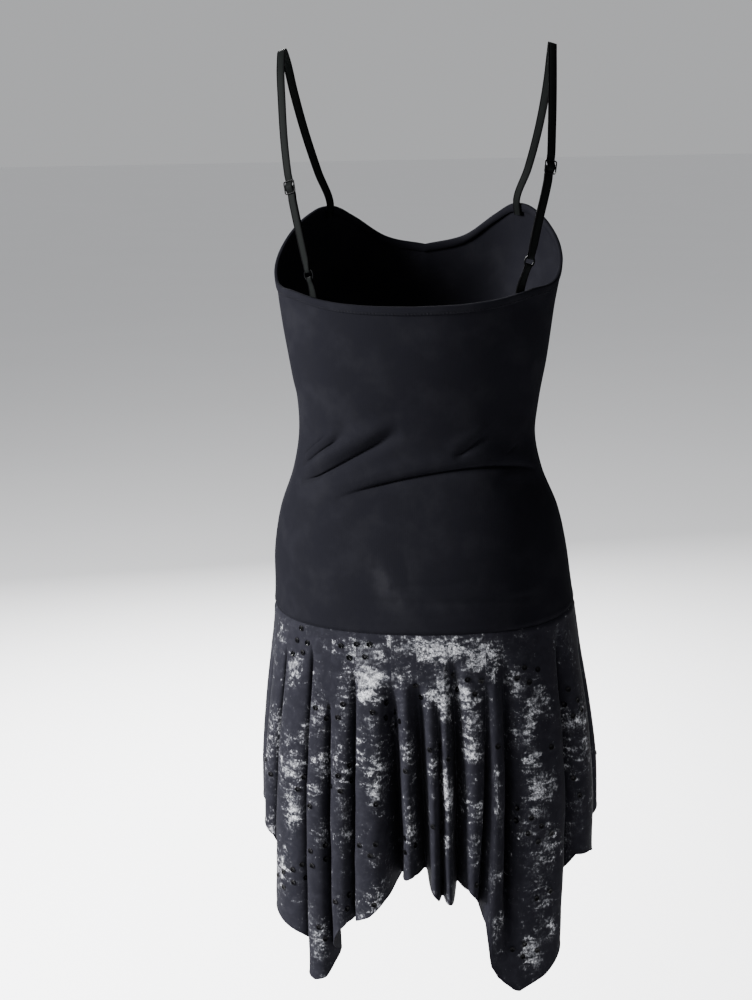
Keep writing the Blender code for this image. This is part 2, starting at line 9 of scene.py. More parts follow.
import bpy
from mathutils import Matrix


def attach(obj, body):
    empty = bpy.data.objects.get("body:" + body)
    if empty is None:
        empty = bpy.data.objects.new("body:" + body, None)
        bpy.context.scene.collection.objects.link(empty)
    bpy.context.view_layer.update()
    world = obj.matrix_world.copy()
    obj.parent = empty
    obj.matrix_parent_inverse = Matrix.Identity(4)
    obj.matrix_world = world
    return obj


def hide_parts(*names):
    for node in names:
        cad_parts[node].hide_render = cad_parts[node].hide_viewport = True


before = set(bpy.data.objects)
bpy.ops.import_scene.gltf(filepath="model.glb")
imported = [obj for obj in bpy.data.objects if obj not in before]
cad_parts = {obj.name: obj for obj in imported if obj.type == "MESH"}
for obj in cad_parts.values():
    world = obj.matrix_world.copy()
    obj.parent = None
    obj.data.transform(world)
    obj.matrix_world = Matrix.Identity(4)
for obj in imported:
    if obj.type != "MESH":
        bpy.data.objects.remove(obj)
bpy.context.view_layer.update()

import math

import bpy
import numpy as np
from mathutils import Matrix, Vector

# %% [markdown]
# ## Camera
#
# A Blender camera looks along its own -Z axis, with +X to the right and +Y up. The photograph
# was taken from behind the dress, a little above it, with a slight pan and lean. At a distance of
# 1.5 m a lens of 54 mm on the 36 mm sensor takes in 1 m along the picture's long side.

# %% Place the camera
AIM = Vector((0.0, 0.0, -0.434))
CAMERA_DISTANCE = 1.5
CAMERA_AZIMUTH = math.radians(184.0)
CAMERA_ELEVATION = math.radians(14.0)
CAMERA_PAN = math.radians(1.8)
CAMERA_LEAN = math.radians(1.2)
CAMERA_LENS = 54.0

behind = Vector((
    math.sin(CAMERA_AZIMUTH) * math.cos(CAMERA_ELEVATION),
    -math.cos(CAMERA_AZIMUTH) * math.cos(CAMERA_ELEVATION),
    math.sin(CAMERA_ELEVATION),
))
ahead = Matrix.Rotation(CAMERA_PAN, 3, "Z") @ -behind
level_right = ahead.cross(Vector((0.0, 0.0, 1.0))).normalized()
level_up = level_right.cross(ahead)
picture_right = level_right * math.cos(CAMERA_LEAN) - level_up * math.sin(CAMERA_LEAN)
picture_up = level_right * math.sin(CAMERA_LEAN) + level_up * math.cos(CAMERA_LEAN)
turned = Matrix((picture_right, picture_up, -ahead)).transposed().to_4x4()

camera = bpy.data.objects.new("camera", bpy.data.cameras.new("camera"))
bpy.context.scene.collection.objects.link(camera)
camera.data.lens = CAMERA_LENS
camera.matrix_world = Matrix.Translation(AIM + CAMERA_DISTANCE * behind) @ turned
bpy.context.scene.camera = camera
print("camera at", [round(v, 3) for v in camera.matrix_world.translation])

# %% [markdown]
# ## The garment's sizes
#
# Sizes are in millimetres and angles in degrees. Angles run round the body: 0 is the middle of
# the back (+Y), 90 the wearer's left side (+X) and 180 the middle of the front. Levels are
# heights below the shoulders, and a drop is measured down from the hip seam. A garment like this
# could be modelled by pulling points about by hand. Here short tables hold the sections, folds
# and flutes, so that one set of functions gives the cloth, its seams and all that is sewn to it.

# %% Tables of sizes
MILLIMETRE = 0.001
SOLID_WALL = 1.2
CLOTH = 0.7
SEAM_GAP = 0.3
CLEARANCE = 0.3
CORNER_FULLNESS = 0.08
HIP_SEAM_LEVEL = -535.0
HIP_SEAM_DIP = 3.0
FULL_DROP = 170.0
LOW_DROP = 300.0


def table(names, *rows):
    """Return the columns of a table by their names."""
    return dict(zip(names, np.array(rows, dtype=float).T))


SECTIONS = table(
    ("level", "half_width", "front", "back", "shift"),
    (-140, 131, 98, 78, 0), (-200, 137.5, 112, 92, 1), (-240, 132.5, 116, 93, 2.5),
    (-290, 125.5, 106, 86, 2.5), (-335, 118, 94, 76, 3), (-365, 116.5, 90, 73, 4.5),
    (-400, 123, 92, 80, 4.5), (-440, 138, 97, 94, 3.5), (-480, 146, 102, 106, 2.5),
    (-515, 149, 105, 112, 0.5), (-545, 152, 107, 115, -1), (-590, 158, 110, 119, -1.5),
    (-640, 165, 115, 124, -2.5), (-700, 171, 120, 129, -3.5), (-780, 173, 124, 132, -3.5),
    (-920, 173, 125, 134, -3.5),
)
TOP_EDGE = table(
    ("angle", "level"),
    (0, -231), (20, -229.5), (35, -226), (45, -222), (55, -218.5), (66, -217), (76, -213),
    (85, -204), (95, -192), (108, -174), (122, -157), (132, -149), (140, -149), (150, -160),
    (164, -181), (180, -190),
)
BUST = {"angle": 38.0, "level": -238.0, "out": 17.0, "turn": 24.0, "rise": 62.0, "fall": 46.0}
print("sections:", len(SECTIONS["level"]), "rows of the top edge:", len(TOP_EDGE["level"]))

# %% [markdown]
# ## Small helpers
#
# Four helpers are used throughout. `smooth` runs a cubic curve through the rows of a table, which is
# softer than straight lines between them and easier to set than a Bezier curve. The others scale
# vectors, measure along a line of points and make a soft bump.

# %% Interpolation
def smooth(x, xs, ys):
    """Interpolate a curve smoothly through the rows of a table, xs rising."""
    slopes = np.gradient(ys, xs)
    x = np.clip(x, xs[0], xs[-1])
    i = np.clip(np.searchsorted(xs, x, side="right") - 1, 0, len(xs) - 2)
    span = xs[i + 1] - xs[i]
    f = (x - xs[i]) / span
    return (
        ys[i] * (1 + 2 * f) * (1 - f) ** 2
        + ys[i + 1] * f * f * (3 - 2 * f)
        + slopes[i] * span * f * (1 - f) ** 2
        - slopes[i + 1] * span * f * f * (1 - f)
    )


def unit(vectors):
    """Return vectors scaled to a length of 1."""
    return vectors / np.linalg.norm(vectors, axis=-1, keepdims=True)


def travelled(points):
    """Return the length run along a line of points up to each of them."""
    return np.concatenate([[0.0], np.cumsum(np.linalg.norm(np.diff(points, axis=0), axis=1))])


def bump(distance, width):
    """Return a soft bump: 1 at no distance, fading within a few widths."""
    return np.exp(-((distance / width) ** 2))


def section_value(level, column):
    """Read a column of the section table at a level."""
    return smooth(-level, -SECTIONS["level"], SECTIONS[column])


# %% [markdown]
# ## The form without folds
#
# The garment is first a smooth tube. At each level the tables give its half width and its depth
# in front and behind, and sine and cosine turn these into points. The surface normal comes from
# small steps along the surface, so any function of two values can be given thickness or relief.

# %% The smooth form round the body
def bust_out(angle, level):
    """Return how far the bust pushes the front out."""
    from_front = np.abs(angle % 360.0 - 180.0)
    across = bump(from_front - BUST["angle"], BUST["turn"])
    height = level - BUST["level"]
    reach = np.where(height > 0, BUST["rise"], BUST["fall"])
    return BUST["out"] * across * bump(height, reach)


def envelope(angle, level):
    """Return the points of the smooth outer form, with no fold in it."""
    turn = np.radians(angle)
    side = np.sin(turn)
    fore = np.cos(turn)
    depth = np.where(fore > 0, section_value(level, "back"), section_value(level, "front"))
    x = section_value(level, "half_width") * side * (1 + CORNER_FULLNESS * fore ** 2)
    x = x + section_value(level, "shift")
    y = depth * fore * (1 + CORNER_FULLNESS * side ** 2)
    return np.stack([x, y - bust_out(angle, level), level + 0 * x], axis=-1)


def outward(surface, a, b, step_a, step_b):
    """Return a surface's unit normal from small steps in its two values."""
    along_a = surface(a + step_a, b) - surface(a - step_a, b)
    along_b = surface(a, b + step_b) - surface(a, b - step_b)
    return unit(np.cross(along_a, along_b))


def envelope_outward(angle, level):
    """Return the smooth form's unit normal, which points out of the garment."""
    return -outward(envelope, angle, level, 0.2, 0.5)


def top_edge(angle):
    """Return the level of the bodice's finished upper edge."""
    from_back = np.abs((angle + 180.0) % 360.0 - 180.0)
    return smooth(from_back, TOP_EDGE["angle"], TOP_EDGE["level"])


def hip_seam(angle):
    """Return the level of the seam between bodice and skirt."""
    return HIP_SEAM_LEVEL - HIP_SEAM_DIP * np.cos(np.radians(angle))


print("waist", round(float(2 * section_value(-365.0, "half_width"))), "mm across")

# %% [markdown]
# ## Folds of the bodice
#
# Stretch jersey that has slid down a little buckles into a few long creases at the waist. Cloth
# simulation would invent its own, so these are listed one by one: a row gives a crease's two ends,
# the bow of its line, its width and its depth. Each trough has a softer ridge above it. The soft
# folds are those of the solid. The sharp ones run along the bottom of them, and the drag lines
# are shallow pulls towards the seams.

# %% Folds, sharp creases and drag lines
FOLD_COLUMNS = ("start_angle", "start_level", "end_angle", "end_level", "bow", "width", "depth")
SOFT_FOLDS = table(
    FOLD_COLUMNS,
    (60, -405, 4, -349, 3, 7.0, 5.0),
    (34, -416, -74, -397, -19.0, 5.5, 3.0),
    (-18, -376, -37, -353, 1, 5.0, 2.0),
    (63, -390, 30, -355, -1, 5.0, 2.2),
    (112, -398, 168, -388, 6, 7.0, 3.2),
    (-100, -402, -158, -380, -5, 7.0, 3.6),
)
SHARP_CREASES = table(
    FOLD_COLUMNS,
    (60, -406, 8, -353, 3, 2.8, 2.2),
    (33, -416, -74, -397, -20.2, 2.0, 2.4),
    (-20, -375, -34, -355, 1, 2.2, 1.1),
    (62, -390, 34, -359, -1, 2.6, 1.7),
    (64, -382, 42, -356, 0, 2.6, 0.6),
    (-46, -376, -58, -366, 0, 2.4, 0.6),
    (114, -399, 165, -389, 6, 2.2, 1.4),
    (-102, -402, -154, -381, -5, 2.2, 1.5),
    (-146, -412, -112, -420, 4, 2.4, 0.8),
)
DRAG_LINES = table(
    FOLD_COLUMNS,
    (8, -491, -20, -489, 1, 3.4, 0.55),
    (22, -504, -52, -507.5, 2, 3.2, 0.9),
    (10, -520, -14, -521, 1, 3.0, 0.5),
    (44, -424, -30, -398, -12, 7.0, 1.0),
    (-36, -402, -80, -412, -3, 8.0, 0.8),
    (66, -452, 30, -430, -3, 9.0, 0.7),
    (40, -346, 4, -331, 3, 8.0, 0.7),
    (-84, -352, -46, -338, -3, 7.0, 0.6),
    (84, -330, 58, -300, 4, 9.0, 0.8),
    (-84, -322, -60, -296, -4, 9.0, 0.8),
    (82, -250, 50, -238, 3, 8.0, 0.6),
    (-80, -246, -44, -236, -3, 8.0, 0.6),
    (96, -300, 132, -262, 5, 8.0, 1.0),
    (-96, -304, -130, -266, -5, 8.0, 1.1),
    (150, -330, 206, -326, 6, 9.0, 0.9),
    (120, -448, 176, -440, 5, 9.0, 0.9),
    (-118, -452, -170, -462, -4, 9.0, 0.8),
    (168, -300, 192, -300, 5, 7.0, 0.8),
)


RIDGE_AWAY = 1.7
RIDGE_WIDTH = 1.3
LIP_AWAY = 1.1
LIP_WIDTH = 0.9


def crease_relief(creases, angle, level, ridge_share, lap=0.0):
    """Return how far a table of creases moves the cloth out, and how far down it laps over.

    The ridge above a trough, and the lip that laps over it, are set off by shares of its width.
    """
    relief = np.zeros(np.broadcast(angle, level).shape)
    slip = np.zeros(relief.shape)
    wrapped = (angle + 180.0) % 360.0 - 180.0
    for i in range(len(creases["depth"])):
        crease = {name: values[i] for name, values in creases.items()}
        middle = 0.5 * (crease["start_level"] + crease["end_level"])
        arm = math.radians(1.0) * float(section_value(middle, "half_width"))
        run = np.array([(crease["end_angle"] - crease["start_angle"]) * arm,
                        crease["end_level"] - crease["start_level"]])
        length = math.hypot(run[0], run[1])
        from_start = (wrapped - crease["start_angle"] + 180.0) % 360.0 - 180.0
        across = from_start * arm
        up = level - crease["start_level"]
        share = np.clip((across * run[0] + up * run[1]) / length ** 2, 0.0, 1.0)
        away = (up * run[0] - across * run[1]) / length * np.sign(run[0])
        away = away + crease["bow"] * 4 * share * (1 - share)
        fade = np.clip(6 * share * (1 - share), 0.0, 1.0)
        width = crease["width"]
        trough = bump(away, width)
        ridge = bump(away - RIDGE_AWAY * width, RIDGE_WIDTH * width)
        lip = bump(away - LIP_AWAY * width, LIP_WIDTH * width)
        relief = relief + crease["depth"] * fade * (ridge_share * ridge - trough)
        slip = slip + lap * width * fade * lip
    return relief, slip


# %% [markdown]
# ## From folds to a surface
#
# Every relief is a distance along the normal, added to the smooth form. The edges roll in where
# they are sewn, and slow waves keep the cloth from looking machined.

# %% The bodice's surface
SEAM_ROLL = 1.5
SEAM_TURN_IN = 1.1
SEAM_RIDGE = 0.35
CREASE_LAP = 1.1
SIDE_RADIUS = 120.0
MILLIMETRES_A_DEGREE = 2.2
JERSEY_RIPPLE = 0.22
WAVES = 7


def seam_roll(distance):
    """Return how a sewn edge rolls in, with a faint ridge beside it, by distance from it."""
    ridge = SEAM_RIDGE * bump(distance - 3.0 * SEAM_ROLL, 1.4 * SEAM_ROLL)
    return ridge - SEAM_TURN_IN * bump(distance, SEAM_ROLL)


def slow_wander(a, b, seed, size):
    """Return a smooth uneven relief between about -1 and 1, of waves of about one size."""
    draw = np.random.default_rng(seed)
    total = 0.0
    for _ in range(WAVES):
        heading = draw.uniform(0.0, math.pi)
        length = size * draw.uniform(0.6, 1.7)
        phase = draw.uniform(0.0, 2 * math.pi)
        ahead = a * math.cos(heading) + b * math.sin(heading)
        total = total + np.sin(2 * math.pi * ahead / length + phase)
    return total / WAVES


def bodice(angle, level):
    """Return points on the bodice's outer face, with the folds of the solid."""
    lift, _ = crease_relief(SOFT_FOLDS, angle, level, 0.45)
    return envelope(angle, level) + lift[..., None] * envelope_outward(angle, level)


def bodice_outward(angle, level):
    """Return the bodice's unit normal."""
    return -outward(bodice, angle, level, 0.4, 1.0)


def bodice_cloth(angle, level):
    """Return the bodice with its sharp creases, drag lines and rolled seam edges."""
    lift, slip = crease_relief(SHARP_CREASES, angle, level, 0.5, CREASE_LAP)
    pulled, _ = crease_relief(DRAG_LINES, angle, level, 0.5)
    from_side = np.abs((angle + 180.0) % 180.0 - 90.0) * math.radians(1.0) * SIDE_RADIUS
    ripple = slow_wander(angle * MILLIMETRES_A_DEGREE, level, 11, 70.0) * (1 - bump(from_side, 12.0))
    lift = lift + pulled + JERSEY_RIPPLE * ripple
    lift = lift + seam_roll(from_side) + seam_roll(level - hip_seam(angle))
    return bodice(angle, level - slip) + lift[..., None] * bodice_outward(angle, level)


print("creases:", len(SOFT_FOLDS["depth"]) + len(SHARP_CREASES["depth"]) + len(DRAG_LINES["depth"]))

# %% [markdown]
# ## Flutes of the skirt
#
# The skirt is cut as part of a wide ring, so its lower edge is much longer than its seam, and the
# spare length falls in flutes. One row is a flute and the crease after it, from the wearer's
# right side round the back and the front. A cubic B-spline runs through six control points a
# flute, which keeps the ridges round and the creases deep. The hem's drops give the long corners.

# %% Table of flutes
FLUTES = table(
    ("top", "low", "start", "end", "half_gap", "depth", "lean", "hem_in", "hem_mid", "hem_out"),
    (-84, -81, 40, 900, 4.0, 13, 0, 220, 222, 228),
    (-60.5, -56.5, 8, 900, 7.5, 27, 1, 262, 252, 248),
    (-30.5, -27.5, 20, 330, 6.0, 19, -1, 338, 360, 371),
    (-23.7, -18, 45, 900, 3.0, 13, 0, 352, 338, 292),
    (-12.0, -12.0, 25, 900, 6.0, 25, 1, 268, 262, 257),
    (-6.3, -6.4, 60, 900, 2.2, 10, 0, 271, 270, 269),
    (0.2, -1.0, 45, 900, 6.0, 25, 0, 267, 262, 258),
    (8.5, 7.7, 45, 900, 7.5, 29, 0, 241, 243, 247),
    (20.9, 22.5, 35, 900, 2.2, 13, -1, 270, 287, 295),
    (30.5, 31, 70, 900, 2.0, 13, 0, 298, 308, 326),
    (39.8, 42, 20, 900, 1.2, 17, -4, 365, 369, 366),
    (55.5, 65, 30, 900, 1.6, 15, 3, 327, 320, 311),
    (71, 79, 50, 900, 3.2, 14, 0, 238, 232, 226),
    (101, 101, 30, 900, 5.0, 21, -1, 218, 213, 222),
    (117, 116, 55, 900, 2.5, 14, 1, 232, 252, 266),
    (130, 131, 25, 900, 6.5, 24, 0, 288, 318, 340),
    (143, 144, 45, 900, 3.0, 15, -2, 362, 370, 352),
    (157, 156, 15, 900, 6.0, 26, 1, 322, 300, 284),
    (170, 170, 60, 900, 2.4, 13, 0, 270, 260, 254),
    (186, 187, 30, 900, 7.0, 27, 0, 250, 249, 251),
    (199, 199, 50, 900, 2.2, 13, 1, 256, 264, 280),
    (213, 212, 20, 900, 6.2, 25, -1, 300, 326, 346),
    (227, 227, 45, 900, 1.6, 16, 3, 364, 368, 350),
    (243, 243, 35, 900, 5.5, 22, 0, 318, 290, 262),
    (258, 259, 55, 900, 3.0, 14, 0, 244, 232, 224),
)
BACK_FLUTES = 13
SPANS_PER_FLUTE = 6
ALL_PLACES = len(FLUTES["top"]) * SPANS_PER_FLUTE
SIDE_PLACE = BACK_FLUTES * SPANS_PER_FLUTE
MIDDLE_BACK_PLACE = 39.0
MIDDLE_FRONT_PLACE = 114.0
SOFT_START = 2.4
RIDGE_SWELL = 1.5
RIDGE_SWELL_SHARE = 0.09
RIDGE_SWELL_MOST = 3.6
ARM = 2.9
CREASE_OPEN = 0.7
CREASE_DEEPER = 1.35
print("flutes:", len(FLUTES["top"]), "of them at the back:", BACK_FLUTES)

# %% [markdown]
# ## How a flute opens
#
# A crease starts a little below the seam and deepens down the skirt. Its control points are worked
# out for a whole grid at once with `np.choose`, which is much faster than a loop over points.

# %% Control points of the flutes
def crease_angle(i, drop):
    """Return a crease's angle at a drop, moving from its upper to its lower place."""
    share = drop / LOW_DROP
    return FLUTES["top"][i] + (FLUTES["low"][i] - FLUTES["top"][i]) * share


def crease_growth(i, drop):
    """Return how far a crease has opened at a drop: 0 above its start, 1 at the full drop."""
    start = FLUTES["start"][i]
    growth = np.clip((drop - start) / (FULL_DROP - start), 0.0, None)
    growth = np.where(growth > 1, 1 + 0.3 * (growth - 1), growth ** 0.7)
    closing = np.clip((FLUTES["end"][i] - drop) / 90.0, 0.0, 1.0)
    return growth * closing


def crease_gap(i, growth):
    """Return half a crease's width, which narrows as the crease grows."""
    return FLUTES["half_gap"][i] + CREASE_OPEN + SOFT_START * np.clip(1.0 - growth, 0.0, 1.0) ** 2


def flute_control(index, drop):
    """Return a control point of the skirt's section at a drop: angle, way in, and hem drop."""
    count = len(FLUTES["top"])
    turns, index = np.divmod(index, SPANS_PER_FLUTE * count)
    flute, kind = np.divmod(index, SPANS_PER_FLUTE)
    before = (flute - 1) % count
    after = (flute + 1) % count
    here = crease_angle(flute, drop)
    behind_it = crease_angle(before, drop) - np.where(flute == 0, 360.0, 0.0)
    growth = crease_growth(flute, drop)
    growth_before = crease_growth(before, drop)
    gap = crease_gap(flute, growth)
    gap_before = crease_gap(before, growth_before)
    depth = CREASE_DEEPER * FLUTES["depth"][flute] * growth
    lean = FLUTES["lean"][flute] * growth
    width = (here - behind_it) * ARM - gap - gap_before
    middle = 0.5 * (here - gap / ARM + behind_it + gap_before / ARM)
    swell = np.minimum(RIDGE_SWELL + RIDGE_SWELL_SHARE * width, RIDGE_SWELL_MOST)
    swell = swell * np.clip(0.5 * (growth + growth_before), 0, 1)
    angle = np.choose(kind, [
        middle,
        here - gap / ARM,
        here + (lean * 0.5 - gap * 0.45) / ARM,
        here + lean / ARM,
        here + (lean * 0.5 + gap * 0.45) / ARM,
        here + gap / ARM,
    ])
    way_in = np.choose(kind, [-swell, 0.02 * depth, 0.6 * depth, 1.12 * depth, 0.6 * depth, 0.02 * depth])
    hem_out = FLUTES["hem_out"][flute]
    hem_next = FLUTES["hem_in"][after]
    hem = np.choose(kind, [
        FLUTES["hem_mid"][flute],
        hem_out,
        0.7 * hem_out + 0.3 * hem_next,
        0.5 * hem_out + 0.5 * hem_next,
        0.3 * hem_out + 0.7 * hem_next,
        hem_next,
    ])
    return angle + 360.0 * turns, way_in, hem


# %% [markdown]
# ## From control points to a surface
#
# The blend of four control points gives a point of the section its angle and its way in from the
# smooth form. Ripples, the rolled seam edges and the narrow hem are added along the normal.

# %% The skirt's surface
def flute_blend(place, drop):
    """Blend the control points along the skirt's section as a cubic B-spline: angle, way in."""
    first = np.floor(place).astype(int)
    f = place - first
    weights = (
        (1 - f) ** 3 / 6,
        (3 * f ** 3 - 6 * f ** 2 + 4) / 6,
        (-3 * f ** 3 + 3 * f ** 2 + 3 * f + 1) / 6,
        f ** 3 / 6,
    )
    angle = 0.0
    way_in = 0.0
    for k, weight in enumerate(weights):
        control = flute_control(first + k - 1, drop)
        angle = angle + weight * control[0]
        way_in = way_in + weight * control[1]
    return angle, way_in


def hem_drop(place):
    """Return the skirt's length below the seam at a place along its section."""
    first = np.floor(place).astype(int)
    f = place - first
    here = flute_control(first, 0.0 * place)[2]
    after = flute_control(first + 1, 0.0 * place)[2]
    return (1 - f) * here + f * after


def skirt(place, drop):
    """Return points on the skirt's outer face."""
    angle, way_in = flute_blend(place, drop)
    level = hip_seam(angle) - SEAM_GAP - drop
    return envelope(angle, level) - way_in[..., None] * envelope_outward(angle, level)


def skirt_outward(place, drop):
    """Return the skirt's unit normal."""
    return outward(lambda p, d: skirt(p, np.maximum(d, 0.0)), place, drop, 0.03, 0.4)


HEM_ROLL = 0.45
PLACE_ARM = 7.0
# Each row of ripples: how far out, millimetres in a place, share of the drop, seed, size
SKIRT_RIPPLES = ((0.9, 9.0, 0.55, 5, 60.0), (0.35, 14.0, 1.0, 6, 38.0))


def skirt_cloth(place, drop):
    """Return the skirt with ripples in its flutes, its rolled seam edge and its narrow hem."""
    hem = hem_drop(place)
    from_side = np.minimum(np.abs(place - SIDE_PLACE), np.minimum(place, ALL_PLACES - place))
    rippled = np.clip(drop / FULL_DROP, 0.0, 1.0) * (1 - bump(from_side, 0.8))
    lift = seam_roll(drop) + seam_roll(from_side * PLACE_ARM) + HEM_ROLL * bump(hem - drop - 1.0, 0.9)
    for out, arm, down, seed, size in SKIRT_RIPPLES:
        lift = lift + out * rippled * slow_wander(place * arm, drop * down, seed, size)
    return skirt(place, drop) + lift[..., None] * skirt_outward(place, drop)


around = skirt(np.linspace(0.0, ALL_PLACES, 4000), np.full(4000, 200.0))
print("skirt round at a drop of 200:", round(float(travelled(around)[-1])), "mm")

# %% [markdown]
# ## Shader arithmetic
#
# Each finish is a node tree on the Principled shader. Nodes can be wired by hand in the shader
# editor. In a script, long sums of Math nodes are hard to read, so `Socket` lets Python's own
# signs add them, and `Finish.node` adds any other node in one call.

# %% A socket that can be reckoned with
class Socket:
    """One output of a shader node, which arithmetic turns into Math nodes."""

    def __init__(self, finish, socket):
        self.finish = finish
        self.socket = socket

    def __add__(self, other):
        return self.finish.math("ADD", self, other)

    __radd__ = __add__

    def __sub__(self, other):
        return self.finish.math("SUBTRACT", self, other)

    def __rsub__(self, other):
        return self.finish.math("SUBTRACT", other, self)

    def __mul__(self, other):
        return self.finish.math("MULTIPLY", self, other)

    __rmul__ = __mul__


# %% [markdown]
# ## A class for finishes
#
# The constants of a finish go straight on the shader. Only what varies over the surface is made
# with nodes, so each tree stays short.

# %% A finish made of nodes
class Finish:
    """A material on the Principled shader, with the calls that add its nodes."""

    def __init__(self, name, **constants):
        self.material = bpy.data.materials.new(name)
        self.material.use_nodes = True
        self.tree = self.material.node_tree
        self.shader = self.tree.nodes["Principled BSDF"]
        for socket, value in constants.items():
            self.shader.inputs[socket.replace("_", " ")].default_value = value

    def node(self, kind, settings=None, inputs=None, output=0):
        """Add a node: its settings first, then its sockets' values or links."""
        made = self.tree.nodes.new("ShaderNode" + kind)
        for name, value in (settings or {}).items():
            setattr(made, name, value)
        for name, value in (inputs or {}).items():
            self.join(value, made.inputs[name])
        return Socket(self, made.outputs[output])

    def join(self, value, socket):
        """Link a socket, or set its value."""
        if isinstance(value, Socket):
            self.tree.links.new(value.socket, socket)
        else:
            socket.default_value = value

    def math(self, operation, a, b=0.0):
        """Work out a number from two others."""
        return self.node("Math", {"operation": operation}, {0: a, 1: b})

    def step(self, value, low, high):
        """Rise smoothly from 0 to 1 while the value goes from low to high."""
        return self.node("MapRange", {"interpolation_type": "SMOOTHSTEP"}, {0: value, 1: low, 2: high})

    def mix(self, share, a, b):
        """Mix two colours."""
        return self.node("Mix", {"data_type": "RGBA"}, {0: share, 6: a, 7: b}, 2)

    def stretched(self, place, x, y, z):
        """Stretch a place along its axes, so that a texture grows narrower along them."""
        return self.node("VectorMath", {"operation": "MULTIPLY"}, {0: place, 1: (x, y, z)})

    def cloth_place(self):
        """Return the place on the cloth in metres: round, up, and nothing."""
        return self.node("Attribute", {"attribute_name": "cloth"}, output=1)

    def noise(self, place, scale, detail=2.0, roughness=0.5, distortion=0.0):
        """Add a noise texture of so many lumps in a metre."""
        return self.node("TexNoise", None, {
            "Vector": place, "Scale": scale, "Detail": detail, "Roughness": roughness,
            "Distortion": distortion,
        })

    def wear(self, name, value):
        """Feed one of the shader's sockets."""
        self.join(value, self.shader.inputs[name])

    def relief(self, height, strength, depth):
        """Feed the shader's normal with a bump of so many metres."""
        self.wear("Normal", self.node("Bump", None, {
            "Height": height, "Strength": strength, "Distance": depth,
        }))


def color(red, green, blue):
    """Return a colour as Blender takes it."""
    return (red, green, blue, 1.0)


# %% [markdown]
# ## Jersey
#
# The bodice is a fine stretch jersey. Close up its knit runs in tiny upright ribs, and from a
# step away it is a soft black with a dull sheen, paler where the nap has been rubbed. The ribs
# are a wave texture over the place on the cloth. The sheen is a constant on the shader.

# %% Jersey finish
BLACK_JERSEY = color(0.0038, 0.0038, 0.0050)
WORN_JERSEY = color(0.0098, 0.0098, 0.0116)
RIBS_IN_A_METRE = 1150.0
RUB_PLACE = (0.018, -0.482, 0.0)


def jersey_finish(name, rub=0.0):
    """Make the bodice's knit, with a rub mark of the given strength."""
    finish = Finish(name, Sheen_Weight=0.002, Sheen_Roughness=0.35, IOR=1.025)
    finish.shader.inputs["Sheen Tint"].default_value = color(0.82, 0.84, 1.0)
    place = finish.cloth_place()
    nap = finish.noise(place, 26.0, 4.0, 0.6)
    fluff = finish.noise(place, 900.0, 2.0, 0.6)
    wander = finish.noise(finish.stretched(place, 60.0, 14.0, 1.0), 1.0, 2.0)
    ribs = finish.node("TexWave", {"bands_direction": "X"}, {
        "Vector": place, "Scale": RIBS_IN_A_METRE / 20.0 * math.pi, "Distortion": 0.6, "Detail": 1.0,
    }, 1)
    paler = finish.step(nap, 0.42, 0.72) * 0.22 + finish.step(fluff, 0.62, 0.8) * 0.10
    if rub:
        away = finish.node("VectorMath", {"operation": "DISTANCE"}, {
            0: finish.stretched(place, 1.0, 0.75, 1.0),
            1: (RUB_PLACE[0], RUB_PLACE[1] * 0.75, 0.0),
        }, 1)
        mark = (1.0 - finish.step(away, 0.004, 0.034)) * finish.step(wander + nap, 0.75, 1.25)
        paler = paler + mark * rub
    finish.wear("Base Color", finish.mix(paler, BLACK_JERSEY, WORN_JERSEY))
    finish.wear("Roughness", 0.72 + nap * 0.12)
    finish.relief(ribs * 0.6 + fluff * 0.4, 0.35, 0.00012)
    return finish.material


jersey_back = jersey_finish("jersey back", rub=0.55)
jersey_front = jersey_finish("jersey front")
jersey_binding_back = jersey_finish("jersey binding back")
jersey_binding_front = jersey_finish("jersey binding front")
print("jersey finishes: 4")

# %% [markdown]
# ## Foil cloth
#
# The skirt is a charcoal jersey with a worn silver foil print. The foil was brushed on in short
# level strokes and has cracked and flaked, so it shows as broken bright patches. An attribute on
# the mesh says where the foil lies thick. Noise stretched along the cloth frays its strokes, and
# cells of a Voronoi texture crack it. The foil is a little metallic, smoother and raised, and
# glints are painted into its colour: noise lifts it from dull grey to bright silver in spots.

# %% Foil finish
CHARCOAL = color(0.0054, 0.0054, 0.0073)
CHARCOAL_PALE = color(0.0078, 0.0078, 0.0103)
# FOIL is the bright silver of the painted glints, FOIL_DULL the foil's grey where none are painted.
FOIL = color(0.42, 0.425, 0.45)
FOIL_DULL = color(0.060, 0.061, 0.068)
WRONG_SIDE = color(0.0055, 0.0055, 0.0070)
WRONG_SIDE_PALE = color(0.0090, 0.0090, 0.0110)


